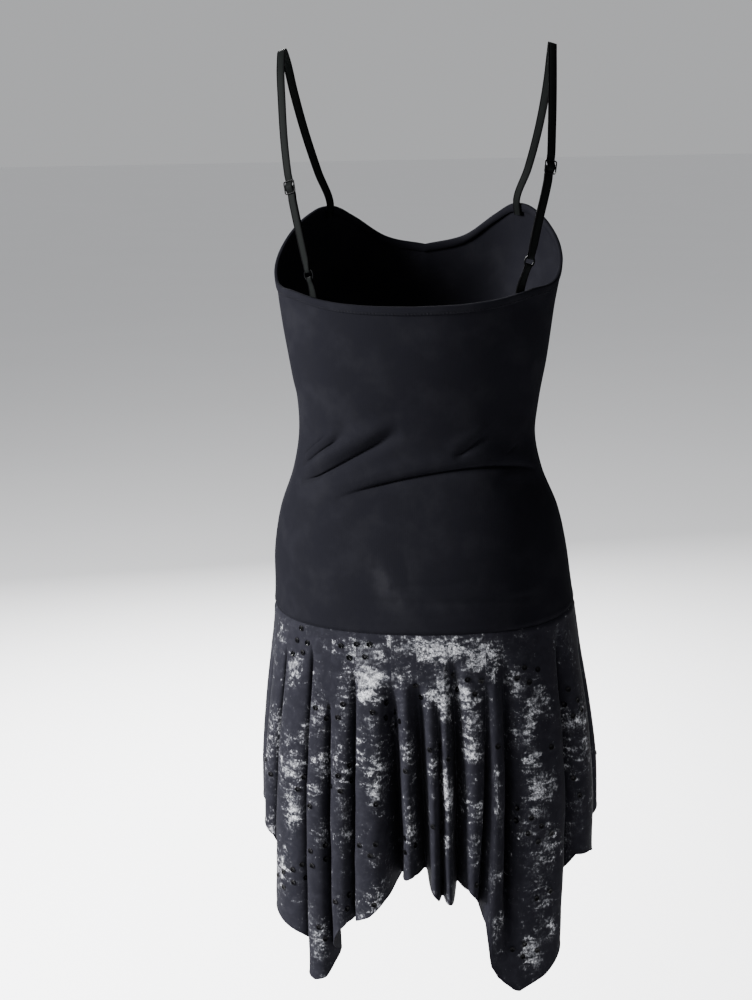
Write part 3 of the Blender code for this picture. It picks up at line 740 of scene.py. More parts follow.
def foil_finish(name):
    """Make the skirt's cloth with its flaked foil, and glints painted into the foil's colour."""
    finish = Finish(name, Sheen_Weight=0.004, Sheen_Roughness=0.4, IOR=1.05)
    place = finish.cloth_place()
    thick = finish.node("Attribute", {"attribute_name": "foil"}, output=2)
    strokes = finish.noise(finish.stretched(place, 75.0, 165.0, 1.0), 1.0, 4.0, 0.6, 0.7)
    blots = finish.noise(place, 95.0, 4.0, 0.65, 0.6)
    flakes = finish.noise(finish.stretched(place, 1.0, 0.7, 1.0), 360.0, 4.0, 0.72, 0.4)
    bent = finish.node("VectorMath", {"operation": "ADD"}, {
        0: place,
        1: finish.stretched(finish.node("TexNoise", None, {
            "Vector": place, "Scale": 260.0, "Detail": 2.0,
        }, 1), 0.004, 0.004, 0.0),
    })
    cracks = finish.node("TexVoronoi", {"feature": "DISTANCE_TO_EDGE"}, {"Vector": bent, "Scale": 400.0})
    spread = finish.noise(finish.stretched(place, 1.0, 0.45, 1.0), 34.0, 2.0)
    laid = thick * 0.82 + (spread - 0.5) * 1.5 + (strokes - 0.5) * 2.1 + (blots - 0.5) * 1.8 - 0.02
    laid = finish.step(laid, 0.0, 1.2)
    left = finish.step(laid * 1.05 + (flakes - 0.5) * 2.4, 0.30, 0.98)
    whole = finish.step(cracks + (flakes - 0.5) * 0.25, 0.0, 0.18)
    flecks = (flakes - 0.5) * 2.6 + (spread - 0.5) * 2.0 + (strokes - 0.5) * 1.6 + thick * 0.6
    flecks = finish.step(flecks, 0.22, 1.05)
    foil = finish.math("MAXIMUM", left * (0.22 + whole * 0.78), flecks * 0.40)
    film = finish.math("MAXIMUM", foil, laid * 0.12)
    ground = finish.mix(finish.step(blots, 0.35, 0.75), CHARCOAL, CHARCOAL_PALE)
    # Painted glints: shine noise, with the foil's thickness, strokes and flakes, lifts the foil's colour
    # from dull grey to bright silver. This is painted light on top of the real print.
    shine = finish.noise(finish.stretched(place, 1.0, 0.6, 1.0), 48.0, 3.0, 0.6)
    painted_glint = shine + thick * 0.25 + (strokes - 0.5) * 1.2 + (flakes - 0.5) * 0.8
    bright = finish.mix(finish.step(painted_glint, 0.58, 1.20), FOIL_DULL, FOIL)
    finish.wear("Base Color", finish.mix(film, ground, bright))
    finish.wear("Metallic", foil * 0.35)
    finish.wear("Roughness", 0.68 - foil * 0.30 + (flakes - 0.5) * 0.1)
    finish.relief(foil * 0.7 + flakes * 0.3, 0.6, 0.00015)
    return finish.material


def plain_side_finish(name):
    """Make the foil cloth's wrong side: charcoal knit with an uneven nap."""
    finish = Finish(name, Sheen_Weight=0.004, Sheen_Roughness=0.5, IOR=1.05)
    place = finish.cloth_place()
    nap = finish.noise(place, 40.0, 3.0, 0.6)
    fluff = finish.noise(place, 800.0, 2.0, 0.6)
    finish.wear("Base Color", finish.mix(nap, WRONG_SIDE, WRONG_SIDE_PALE))
    finish.wear("Roughness", 0.74 + fluff * 0.1)
    finish.relief(fluff, 0.3, 0.0001)
    return finish.material


foil_back = foil_finish("foil cloth back")
foil_front = foil_finish("foil cloth front")
wrong_side_back = plain_side_finish("foil cloth wrong side back")
wrong_side_front = plain_side_finish("foil cloth wrong side front")
print("foil finishes: 4")

# %% [markdown]
# ## Strap satin, gloss plastic, sequins and thread
#
# The straps are a ribbed satin ribbon with matt darker borders, and a painted sheen lightens the
# middle in streaks. An attribute tells the border from the middle. The rings, sliders and sequins
# are gloss black, each with a little dust and unevenness, because a perfect black has no depth.
# The thread is twisted, with painted light on its plies and painted shade between them.

# %% Small finishes
SATIN_DEEP = color(0.0018, 0.0021, 0.0021)
SATIN_PAINTED_SHEEN = color(0.0034, 0.0038, 0.0037)
SATIN_BORDER = color(0.0009, 0.0009, 0.0010)
GLOSS_BLACK = color(0.0008, 0.0008, 0.0010)
DUST = color(0.005, 0.005, 0.006)
THREAD_PAINTED_SHADE = color(0.0026, 0.0026, 0.0032)
THREAD_PAINTED_LIGHT = color(0.0060, 0.0060, 0.0070)


def satin_finish(name):
    """Make the strap's ribbon: fine cross ribs, a smoother middle with a painted sheen, and darker borders.
    """
    finish = Finish(name, Sheen_Weight=0.004, Sheen_Roughness=0.4, IOR=1.05)
    place = finish.cloth_place()
    border = finish.node("Attribute", {"attribute_name": "border"}, output=2)
    ribs = finish.node("TexWave", {"bands_direction": "Y"}, {
        "Vector": place, "Scale": 1400.0 / 20.0 * math.pi, "Distortion": 0.3,
    }, 1)
    uneven = finish.noise(finish.stretched(place, 900.0, 60.0, 1.0), 1.0, 2.0)
    # Painted sheen: the middle is painted lighter in streaks along the ribbon, as light catches satin. The
    # darker borders are also rougher.
    middle = finish.mix(uneven, SATIN_DEEP, SATIN_PAINTED_SHEEN)
    edge = finish.step(border, 0.5, 0.8)
    finish.wear("Base Color", finish.mix(edge, middle, SATIN_BORDER))
    finish.wear("Roughness", 0.58 + edge * 0.12 + uneven * 0.08)
    finish.relief(ribs * (1.0 - edge * 0.5), 0.4, 0.0001)
    return finish.material


def gloss_finish(name, roughness, coat):
    """Make the gloss black of rings, sliders and sequins, with faint dust and unevenness."""
    finish = Finish(name, IOR=1.08, Coat_IOR=1.3, Coat_Roughness=0.08)
    place = finish.node("TexCoord", output=3)
    uneven = finish.noise(place, 260.0, 3.0, 0.55)
    dust = finish.step(finish.noise(place, 2600.0, 2.0, 0.7), 0.66, 0.78)
    finish.wear("Base Color", finish.mix(dust * 0.5, GLOSS_BLACK, DUST))
    finish.wear("Roughness", roughness + uneven * 0.10 + dust * 0.2)
    finish.wear("Coat Weight", (1.0 - dust * 0.7) * coat)
    finish.relief(uneven, 0.12, 0.0002)
    return finish.material


def thread_finish(name):
    """Make the sewing thread: two plies twisted round each other, painted lighter on top and darker
    between.
    """
    finish = Finish(name, Sheen_Weight=0.005, Sheen_Roughness=0.4, IOR=1.08)
    place = finish.node("TexCoord", output=3)
    plies = finish.noise(place, 3200.0, 1.0)
    # Painted light and shade: where the plies noise stands high the thread is painted lighter, and in the
    # grooves between it is painted darker.
    finish.wear("Base Color", finish.mix(plies, THREAD_PAINTED_SHADE, THREAD_PAINTED_LIGHT))
    finish.wear("Roughness", 0.5 + plies * 0.2)
    finish.relief(plies, 0.5, 0.0001)
    return finish.material


sequin_back_gloss = gloss_finish("sequin gloss back", 0.10, 0.07)
sequin_front_gloss = gloss_finish("sequin gloss front", 0.10, 0.07)
thread_back = thread_finish("thread back")
thread_front = thread_finish("thread front")
print("small finishes: 4")

# %% [markdown]
# ## Sheets of cloth
#
# Each panel is one grid of points with its wall added by a Solidify modifier, which grows it
# inward from the outer face. The grid is close where the cloth is creased and wide where it is
# plain. Two attributes go on its points: the place on the cloth, for the textures, and how thick
# the foil lies.

# %% Build a mesh
def new_piece(name, points, faces, material, nodes=()):
    """Make a mesh piece from points in millimetres, and say which solid it stands for."""
    mesh = bpy.data.meshes.new(name)
    mesh.from_pydata((np.asarray(points, dtype=float) * MILLIMETRE).tolist(), [], faces)
    mesh.polygons.foreach_set("use_smooth", [True] * len(mesh.polygons))
    mesh.materials.append(material)
    piece = bpy.data.objects.new(name, mesh)
    bpy.context.scene.collection.objects.link(piece)
    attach(piece, "root")
    if nodes:
        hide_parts(*nodes)
    return piece


def add_attribute(piece, name, values):
    """Store a number or a vector on every point of a piece."""
    values = np.asarray(values, dtype=float)
    vector = values.ndim > 1
    kind = "FLOAT_VECTOR" if vector else "FLOAT"
    stored = piece.data.attributes.new(name, kind, "POINT")
    stored.data.foreach_set("vector" if vector else "value", values.ravel())


def grid_faces(rows, columns):
    """Return the quads of a grid whose rows run down and columns run round."""
    corner = (np.arange(rows - 1)[:, None] * columns + np.arange(columns - 1)).ravel()
    return np.stack([corner, corner + 1, corner + columns + 1, corner + columns], axis=1).tolist()


def cloth_places(grid, downs, middle):
    """Return places on the cloth in metres: the length along each row from its middle, and height."""
    along = np.array([travelled(row) for row in grid])
    along = along - along[:, middle][:, None]
    return np.stack([along * MILLIMETRE, downs * MILLIMETRE, 0.0 * downs], axis=-1)


def cloth_sheet(name, grid, places, material, inside, nodes):
    """Make a sheet of cloth with a wall grown inward from its outer face."""
    rows, columns = grid.shape[:2]
    piece = new_piece(name, grid.reshape(-1, 3), grid_faces(rows, columns), material, nodes)
    piece.data.materials.append(inside)
    add_attribute(piece, "cloth", places.reshape(-1, 3))
    wall = piece.modifiers.new("cloth wall", "SOLIDIFY")
    wall.thickness = CLOTH * MILLIMETRE
    wall.offset = -1.0
    wall.material_offset = 1
    return piece


def spaced(stops, count):
    """Spread values between stops, whose weights say how close they lie."""
    where, weight = np.array(stops, dtype=float).T
    fine = np.linspace(where[0], where[-1], 4000)
    density = np.interp(fine, where, weight)
    total = np.concatenate([[0.0], np.cumsum(0.5 * (density[1:] + density[:-1]))])
    return np.interp(np.linspace(0.0, total[-1], count), total, fine)


# %% [markdown]
# ## Bodice
#
# The back and the front meet at the side seams, where each edge rolls in, and the bodice's lower
# edge rolls in at the hip seam. The rows lie closest round the waist, where the creases are.

# %% Bodice panels
BINDING_DEPTH = 8.0
BINDING_THICK = 1.0


def bodice_panel(name, first, last, columns, rows, material, nodes):
    """Make the front or back of the bodice."""
    near_seams = [(first, 9), (first + 3, 5), (first + 6, 1), (last - 6, 1), (last - 3, 5), (last, 9)]
    angles = spaced(near_seams, columns)
    top = top_edge(angles) - BINDING_THICK - CLEARANCE
    seam = hip_seam(angles) - SEAM_GAP
    share = spaced([(0, 1), (0.36, 1), (0.42, 2.2), (0.62, 2.2), (0.7, 1), (0.975, 1), (1, 4)], rows)
    levels = top + (seam - top) * share[:, None]
    grid = bodice_cloth(np.broadcast_to(angles, levels.shape), levels)
    places = cloth_places(grid, levels, columns // 2)
    return cloth_sheet(name, grid, places, material, material, nodes)


bodice_back = bodice_panel("jersey_back", -90.0, 90.0, 225, 190, jersey_back, ["bodice_back"])
bodice_front = bodice_panel("jersey_front", 90.0, 270.0, 215, 200, jersey_front, ["bodice_front"])
print("bodice faces:", len(bodice_back.data.polygons), len(bodice_front.data.polygons))

# %% [markdown]
# ## Binding and its stitches
#
# A strip of the same jersey is folded over the upper edge and sewn down with one row of short
# stitches. The strip is a rounded U swept along the edge, and it puckers a little between
# stitches. Each stitch is a small bean of thread sunk at both ends, because a line painted on
# would have no shadow.

# %% Binding
PUCKER = 0.22
PUCKERS_A_DEGREE = 0.7
STITCH_SINK = 0.35
STITCH_PITCH = 3.0
STITCH_LENGTH = 2.4
STITCH_RADIUS = 0.22
STITCH_UP = 1.5


def binding_out(angle, down):
    """Return how far the binding's face stands out of the bodice, by distance down from its top."""
    sewn = STITCH_SINK * bump(down - BINDING_DEPTH + STITCH_UP, 0.9)
    pucker = PUCKER * np.sin(PUCKERS_A_DEGREE * 2 * math.pi * angle) * np.clip(down / BINDING_DEPTH, 0, 1)
    wander = 0.12 * slow_wander(angle * MILLIMETRES_A_DEGREE, down, 21, 30.0)
    return CLEARANCE + BINDING_THICK - sewn + pucker * bump(down - BINDING_DEPTH + 0.5, 1.6) + wander


def sweep(count, size, closed=False):
    """Return the faces joining so many rings of so many points, capped unless the row closes."""
    faces = []
    for r in range(count if closed else count - 1):
        following = (r + 1) % count
        for k in range(size):
            after = (k + 1) % size
            faces.append((r * size + k, r * size + after, following * size + after, following * size + k))
    if not closed:
        faces.append(tuple(reversed(range(size))))
        faces.append(tuple((count - 1) * size + k for k in range(size)))
    return faces


def make_binding(name, first, last, columns, material, nodes):
    """Make the folded strip on the bodice's upper edge."""
    angles = np.linspace(first, last, columns)
    top = top_edge(angles)
    near = CLEARANCE
    inner = -SOLID_WALL - CLEARANCE
    face = binding_out(angles, 0.0 * angles)
    back = inner - BINDING_THICK
    profile = [(BINDING_DEPTH - 0.1, near + 0.2)]
    profile += [(down, None) for down in (7.9, 7.2, 6.5, 5.8, 4.6, 3.2, 1.9, 1.0)]
    profile += [(0.35, face - 0.35), (0.05, face - 1.0), (0.0, 0.5 * (near + inner)), (0.05, inner + 0.1),
                (0.35, inner - 0.55), (1.2, back), (4.0, back), (7.6, back), (BINDING_DEPTH, inner - 0.5),
                (7.7, inner), (BINDING_THICK, inner), (BINDING_THICK, near)]
    rings = []
    for down, out in profile:
        level = top - down
        if out is None:
            out = binding_out(angles, down + 0.0 * angles)
            if down > 7.5:
                out = out - 0.45
        out = np.broadcast_to(out, angles.shape)
        rings.append(bodice(angles, level) + out[:, None] * bodice_outward(angles, level))
    rings = np.stack(rings, axis=1)
    piece = new_piece(name, rings.reshape(-1, 3), sweep(*rings.shape[:2]), material, nodes)
    along = np.broadcast_to((angles * MILLIMETRES_A_DEGREE * MILLIMETRE)[:, None], rings.shape[:2])
    down = np.broadcast_to(np.array([row[0] for row in profile]) * MILLIMETRE, rings.shape[:2])
    add_attribute(piece, "cloth", np.stack([along, down, 0 * down], axis=-1).reshape(-1, 3))
    return piece


binding_back = make_binding("binding_back", -90.0, 90.0, 420, jersey_binding_back, ["top_binding_back"])
binding_front = make_binding("binding_front", 90.0, 270.0, 440, jersey_binding_front, ["top_binding_front"])
print("binding faces:", len(binding_back.data.polygons))

# %% [markdown]
# ## The row of stitches
#
# The stitches follow the same surface functions as the binding, so that each lies on it.

# %% Stitches
def stitch_row(name, line, normals, material):
    """Lay a row of stitches along a line of points, each a bean sunk at its two ends."""
    lengths = travelled(line)
    starts = np.arange(2.0, lengths[-1] - STITCH_PITCH, STITCH_PITCH)
    points = []
    faces = []
    stations = np.array([-1.0, -0.75, -0.3, 0.3, 0.75, 1.0])
    sides = 6
    for start in starts:
        centre = start + 0.5 * STITCH_LENGTH
        at = centre + 0.5 * STITCH_LENGTH * stations
        spine = np.stack([np.interp(at, lengths, line[:, k]) for k in range(3)], axis=-1)
        out = unit(np.array([np.interp(centre, lengths, normals[:, k]) for k in range(3)]))
        side = np.cross(out, unit(spine[-1] - spine[0]))
        rise = (0.16 - 0.34 * stations ** 4)[:, None] * out
        radius = STITCH_RADIUS * np.sqrt(np.clip(1.02 - stations ** 2, 0.02, 1.0))
        base = len(points)
        for s, centre_point in enumerate(spine + rise):
            for k in range(sides):
                turn = 2 * math.pi * k / sides
                points.append(centre_point + radius[s] * (math.cos(turn) * out + math.sin(turn) * side))
        for face in sweep(len(stations), sides):
            faces.append(tuple(base + v for v in face))
    return new_piece(name, points, faces, material)


def binding_stitches(name, first, last, material):
    """Sew the binding's lower edge."""
    angles = np.linspace(first + 0.4, last - 0.4, 1200)
    down = BINDING_DEPTH - STITCH_UP + 0.0 * angles
    level = top_edge(angles) - down
    normals = bodice_outward(angles, level)
    line = bodice(angles, level) + binding_out(angles, down)[:, None] * normals
    return stitch_row(name, line, normals, material)


stitches_back = binding_stitches("binding_stitches_back", -90.0, 90.0, thread_back)
stitches_front = binding_stitches("binding_stitches_front", 90.0, 270.0, thread_front)
print("stitch faces:", len(stitches_back.data.polygons) + len(stitches_front.data.polygons))

# %% [markdown]
# ## Skirt
#
# The foil's patches are placed in a short table: where each lies along the section and down from
# the seam, how wide and deep it is on the flat cloth, and how thick the foil is. On the front,
# which the photograph doesn't show, similar patches are drawn from a seeded generator.

# %% Patches of foil
PATCHES = table(
    ("place", "drop", "half_round", "half_down", "thick"),
    (49.0, 17, 30, 9, 0.8), (39.5, 9, 26, 9, 1.0), (35.5, 18, 12, 9, 0.8), (27.5, 12, 26, 12, 1.15),
    (21.5, 24, 20, 14, 1.1), (18.6, 36, 7, 13, 0.9), (66.0, 50, 10, 13, 1.0), (65.0, 116, 24, 11, 0.7),
    (65.8, 147, 15, 17, 0.85), (65.6, 190, 11, 19, 0.8), (60.2, 164, 8, 13, 0.8), (66.0, 258, 14, 22, 0.7),
    (71.2, 112, 30, 13, 0.6), (70.8, 152, 40, 22, 0.65), (71.0, 226, 40, 9, 0.5), (59.4, 92, 8, 19, 0.7),
    (59.0, 135, 13, 12, 0.95), (59.2, 207, 9, 11, 0.6), (59.3, 318, 12, 15, 0.7), (53.4, 68, 10, 28, 0.6),
    (53.2, 126, 12, 24, 0.8), (53.1, 208, 16, 11, 0.55), (47.7, 44, 16, 9, 1.25), (47.6, 62, 14, 5, 1.15),
    (47.7, 90, 14, 8, 0.6), (47.6, 128, 14, 27, 0.95), (47.6, 158, 8, 8, 0.9), (47.7, 224, 9, 10, 0.8),
    (47.7, 267, 11, 18, 0.75), (41.4, 37, 10, 11, 0.6), (41.6, 108, 10, 22, 0.7), (41.8, 190, 8, 21, 0.7),
    (35.8, 57, 8, 11, 0.8), (35.8, 128, 7, 16, 0.6), (30.2, 60, 9, 20, 1.2), (30.2, 152, 12, 19, 1.1),
    (30.2, 204, 8, 9, 0.8), (30.0, 262, 10, 12, 0.5), (24.6, 60, 18, 14, 0.8), (24.4, 90, 17, 14, 0.7),
    (24.3, 113, 15, 8, 1.0), (24.2, 173, 13, 14, 0.8), (24.3, 216, 12, 18, 0.75), (18.2, 138, 7, 12, 0.8),
    (18.2, 172, 8, 11, 0.7), (18.0, 243, 16, 7, 0.8), (17.4, 292, 14, 11, 0.7), (12.9, 55, 8, 14, 0.7),
    (12.9, 96, 12, 20, 0.75), (12.1, 72, 12, 14, 0.8), (12.5, 128, 10, 9, 0.9), (12.2, 158, 14, 14, 0.95),
    (12.7, 184, 14, 22, 0.75), (12.0, 220, 14, 20, 0.8), (11.9, 276, 12, 9, 0.7), (11.8, 308, 14, 12, 0.8),
    (12.6, 334, 12, 20, 0.8), (7.0, 106, 24, 14, 0.7), (6.9, 146, 24, 18, 0.65), (6.8, 196, 20, 10, 0.4),
)
FRONT_PATCHES = 64
FLUTE_PITCH = 0.075
PATCH_DRAW = np.random.default_rng(41)


def drawn_patches(first, last, count):
    """Draw patches like those of the back for another stretch of the skirt."""
    place = first + (last - first) * (np.arange(count) + PATCH_DRAW.uniform(0.1, 0.9, count)) / count
    share = PATCH_DRAW.uniform(0.02, 0.95, count) ** 1.2
    return {
        "place": place,
        "drop": share * hem_drop(place),
        "half_round": PATCH_DRAW.uniform(8.0, 22.0, count),
        "half_down": PATCH_DRAW.uniform(8.0, 22.0, count),
        "thick": PATCH_DRAW.uniform(0.55, 1.1, count),
    }


def foil_density(patches, grid_places, grid_drops, lengths):
    """Return how thick the foil lies at each point of a grid, from soft round-cornered patches."""
    total = np.zeros(grid_drops.shape)
    for i in range(len(patches["place"])):
        patch = {name: values[i] for name, values in patches.items()}
        column = np.argmin(np.abs(grid_places - patch["place"]))
        round_share = (lengths - lengths[:, column, None]) / patch["half_round"]
        down_share = (grid_drops - patch["drop"]) / patch["half_down"]
        away = round_share ** 2 + down_share ** 2
        total = np.maximum(total, patch["thick"] * np.exp(-0.5 * away ** 1.4))
    return total


def flute_places(lengths, places):
    """Return places across the flutes, each measured from its own ridge and set side by side."""
    ridges = SPANS_PER_FLUTE * np.round(places / SPANS_PER_FLUTE)
    own_ridge = np.array([np.interp(ridges, places, row) for row in lengths])
    return lengths - own_ridge + FLUTE_PITCH * ridges / SPANS_PER_FLUTE


# %% [markdown]
# ## The two halves of the skirt
#
# Each panel is a grid of places along the section and drops down from the seam. Rows are close at
# the seam and the hem, where the cloth turns in.

# %% Skirt panels
SKIRT_ROWS = 84


def skirt_panel(name, first, last, columns, middle_place, patches, finishes, nodes):
    """Make the front or back of the skirt between its side seams."""
    places = np.linspace(first, last, columns)
    share = spaced([(0, 5), (0.02, 3), (0.05, 1), (0.97, 1), (0.99, 3), (1, 5)], SKIRT_ROWS)
    drops = share[:, None] * hem_drop(places)
    grid = skirt_cloth(np.broadcast_to(places, drops.shape), drops)
    middle = int(np.argmin(np.abs(places - middle_place)))
    on_cloth = cloth_places(grid, -drops, middle)
    density = foil_density(patches, places, drops, on_cloth[..., 0] / MILLIMETRE)
    on_cloth[..., 0] = flute_places(on_cloth[..., 0], places)
    piece = cloth_sheet(name, grid, on_cloth, finishes[0], finishes[1], nodes)
    add_attribute(piece, "foil", density.ravel())
    return piece


front_patches = drawn_patches(SIDE_PLACE, ALL_PLACES, FRONT_PATCHES)
skirt_back = skirt_panel("foil_skirt_back", 0.0, float(SIDE_PLACE), 548, MIDDLE_BACK_PLACE, PATCHES,
                         (foil_back, wrong_side_back), ["skirt_back"])
skirt_front = skirt_panel("foil_skirt_front", float(SIDE_PLACE), float(ALL_PLACES), 506, MIDDLE_FRONT_PLACE,
                          front_patches, (foil_front, wrong_side_front), ["skirt_front"])
print("skirt faces:", len(skirt_back.data.polygons), len(skirt_front.data.polygons))

# %% [markdown]
# ## Sequins
#
# Black cup sequins, about 5 mm across with a hole in the middle, are sewn to the skirt in short double
# rows. A row of the table is one spray: its middle, the way it runs on the cloth and how many
# sequins it has. Each sequin is a small shallow bowl with its own slight tilt. Instances would be
# lighter, but one joined mesh exports as the single piece that it is.

# %% Sprays of sequins
SPRAYS = table(
    ("place", "drop", "turn", "count"),
    (65.8, 21, 72, 5), (50.6, 16, 6, 5), (56.4, 80, 14, 5), (45.8, 80, -32, 6), (38.6, 55, 60, 2),
    (36.4, 112, 0, 1), (53.6, 148, 48, 5), (64.8, 165, 66, 3), (60.4, 180, 0, 1), (71.7, 164, 80, 2),
    (42.0, 133, 0, 1), (47.4, 167, 0, 1), (24.6, 48, -8, 5), (12.5, 44, -14, 4), (7.0, 88, -58, 6),
    (31.0, 115, 88, 2), (18.0, 112, 0, 1), (11.8, 122, 0, 1), (7.1, 165, 0, 1), (59.9, 232, 30, 5),
    (65.6, 266, 34, 7), (48.0, 214, 20, 3), (42.2, 210, 88, 3), (53.5, 276, 24, 3), (59.2, 315, 60, 2),
    (47.8, 280, 10, 2), (12.6, 196, -40, 7), (12.2, 270, -45, 2), (12.8, 326, -36, 4), (23.4, 248, 0, 1),
    (33.2, 257, 0, 2), (35.1, 190, 88, 2), (6.9, 185, 0, 1),
)
FRONT_SPRAYS = 30
SPRAY_STEP = 15.0
SPRAY_ROW = 12.5
SEQUIN_RADIUS = 2.7
SEQUIN_HOLE = 0.55
SEQUIN_CUP = 0.55
SEQUIN_THICK = 0.14
SEQUIN_SIDES = 14
SEQUIN_FROM_SEAM = 0.12
SEQUIN_FROM_EDGE = 4.0
SEQUIN_STAND_OFF = 0.25
SEQUIN_DRAW = np.random.default_rng(19)


def arc_table(drop, first, last):
    """Return places along the skirt and the cloth's length to each, at one drop."""
    places = np.linspace(first, last, 1200)
    return places, travelled(skirt(places, np.full(places.shape, float(drop))))


def spray_spots(sprays, first, last):
    """Return the places and drops of every sequin in a table of sprays."""
    spots = []
    for i in range(len(sprays["place"])):
        drop = sprays["drop"][i]
        turn = math.radians(sprays["turn"][i])
        count = int(sprays["count"][i])
        places, lengths = arc_table(drop, first, last)
        centre = float(np.interp(sprays["place"][i], places, lengths))
        along = np.array([(k // 2) * SPRAY_STEP + (k % 2) * 0.5 * SPRAY_STEP for k in range(count)])
        across = np.array([(k % 2) * SPRAY_ROW for k in range(count)])
        along = along - along.mean() + SEQUIN_DRAW.uniform(-1.8, 1.8, count)
        across = across - across.mean() + SEQUIN_DRAW.uniform(-1.8, 1.8, count)
        for a, c in zip(along, across):
            length = centre + a * math.cos(turn) - c * math.sin(turn)
            place = float(np.interp(length, lengths, places))
            down = drop + a * math.sin(turn) + c * math.cos(turn)
            lowest = float(hem_drop(np.array([place]))[0]) - SEQUIN_FROM_EDGE
            from_seams = min(place - first, last - place)
            if from_seams > SEQUIN_FROM_SEAM and SEQUIN_FROM_EDGE < down < lowest:
                spots.append((place, down))
    return np.array(spots)


def drawn_sprays(first, last, count):
    """Draw sprays like those of the back for another stretch of the skirt."""
    place = first + (last - first) * (np.arange(count) + SEQUIN_DRAW.uniform(0.2, 0.8, count)) / count
    return {
        "place": place,
        "drop": SEQUIN_DRAW.uniform(0.05, 0.9, count) * hem_drop(place),
        "turn": SEQUIN_DRAW.uniform(-60.0, 60.0, count),
        "count": SEQUIN_DRAW.integers(1, 7, count).astype(float),
    }


# %% [markdown]
# ## Sewing the sequins on
#
# A sequin is a ring of rings swept round its axis. Its axis is the normal of the cloth, tilted a
# little at random from a seeded generator.

# %% One sequin, and all of them
def sequin_rings():
    """Return the rings of a sequin's upper and lower face: radius and height."""
    radii = np.array([SEQUIN_HOLE, 1.15, 1.85, 2.25, SEQUIN_RADIUS])
    heights = SEQUIN_CUP * (radii / SEQUIN_RADIUS) ** 3
    upper = list(zip(radii, heights + SEQUIN_THICK))
    lower = list(zip(radii[::-1], heights[::-1]))
    return upper + lower


def sew_sequins(name, spots, material):
    """Sew a sequin at each place and drop of the skirt."""
    places, downs = spots.T
    bases = skirt_cloth(places, downs)
    outs = skirt_outward(places, downs)
    rings = sequin_rings()
    points = []
    faces = []
    for base, out in zip(bases, outs):
        axis = unit(out + SEQUIN_DRAW.normal(0.0, 0.09, 3))
        side = unit(np.cross(axis, (0.0, 0.0, 1.0)))
        other = np.cross(axis, side)
        first = len(points)
        for radius, height in rings:
            for k in range(SEQUIN_SIDES):
                turn = 2 * math.pi * k / SEQUIN_SIDES
                reach = radius * (math.cos(turn) * side + math.sin(turn) * other)
                points.append(base + (height + SEQUIN_STAND_OFF) * axis + reach)
        for a, b, c, d in sweep(len(rings), SEQUIN_SIDES, closed=True):
            faces.append((first + a, first + d, first + c, first + b))
    return new_piece(name, points, faces, material)


back_spots = spray_spots(SPRAYS, 0.0, float(SIDE_PLACE))
sequins_back = sew_sequins("sequins_back", back_spots, sequin_back_gloss)
front_sprays = drawn_sprays(SIDE_PLACE, ALL_PLACES, FRONT_SPRAYS)
front_spots = spray_spots(front_sprays, float(SIDE_PLACE), float(ALL_PLACES))
sequins_front = sew_sequins("sequins_front", front_spots, sequin_front_gloss)
print("sequins:", len(back_spots), "on the back,", len(front_spots), "on the front")

# %% [markdown]
# ## Straps
#
# Each strap is one ribbon. From the slider's middle bar it runs down to the ring, turns round its
# wire, comes back up through the slider and goes over the shoulder to the front. A short loop
# ties the ring to the back. A curve with a bevel would roll at the turns, so the ribbon's section
# is set out at each station across a frame that follows the strap.

# %% Sizes of the straps
STRAP_WIDTH = 8.5
STRAP_THICK = 1.0
STRAP_END_WIDTH = 6.2
STRAP_STATIONS = 26
RING_RADIUS = 5.15
RING_WIRE = 0.8
RING_FOLD = 2.9
SLIDER_WIDTH = 12.5
SLIDER_PITCH = 5.8
SLIDER_BAR = 1.2
SLIDER_CORNER = 1.7
CORNER_STEPS = 6
SEWN_DEPTH = 11.0
SEWN_PLAY = 0.3
FRONT_POINT_ANGLE = 136.0
STRAP_COLUMNS = ("x", "y", "z", "turn")
STRAP_PLUS_X = table(
    STRAP_COLUMNS,
    (97.2, 67.5, -203, 34), (104, 63, -172, 33), (114.5, 50, -124.5, 30), (119.5, 40, -90, 27),
    (123, 27, -48, 23), (125, 14, -15, 20), (125.5, 0, -1, 18), (124.5, -16, -9, 20),
    (121, -36, -38, 24), (113, -56, -80, 29), (104, -70, -115, 33),
)
STRAP_MINUS_X = table(
    STRAP_COLUMNS,
    (106, 64, -194, 36), (113, 59, -163, 35), (124, 50, -110.5, 30), (125.5, 39, -76, 26),
    (126, 26, -40, 22), (126, 12, -12, 20), (126, 0, -1, 18), (125, -16, -9, 20),
    (121.5, -36, -38, 24), (113.5, -56, -80, 29), (104, -70, -115, 33),
)
STRAP_SIDES = (
    ("left", 1.0, STRAP_PLUS_X, -124.5, -203.5, 41.5),
    ("right", -1.0, STRAP_MINUS_X, -110.5, -194.0, 46.5),
)


# %% [markdown]
# ## A line with a frame
#
# Every part of a strap is set out along one line. At each length the line gives a point and three
# directions: along the strap, out of it and across it.

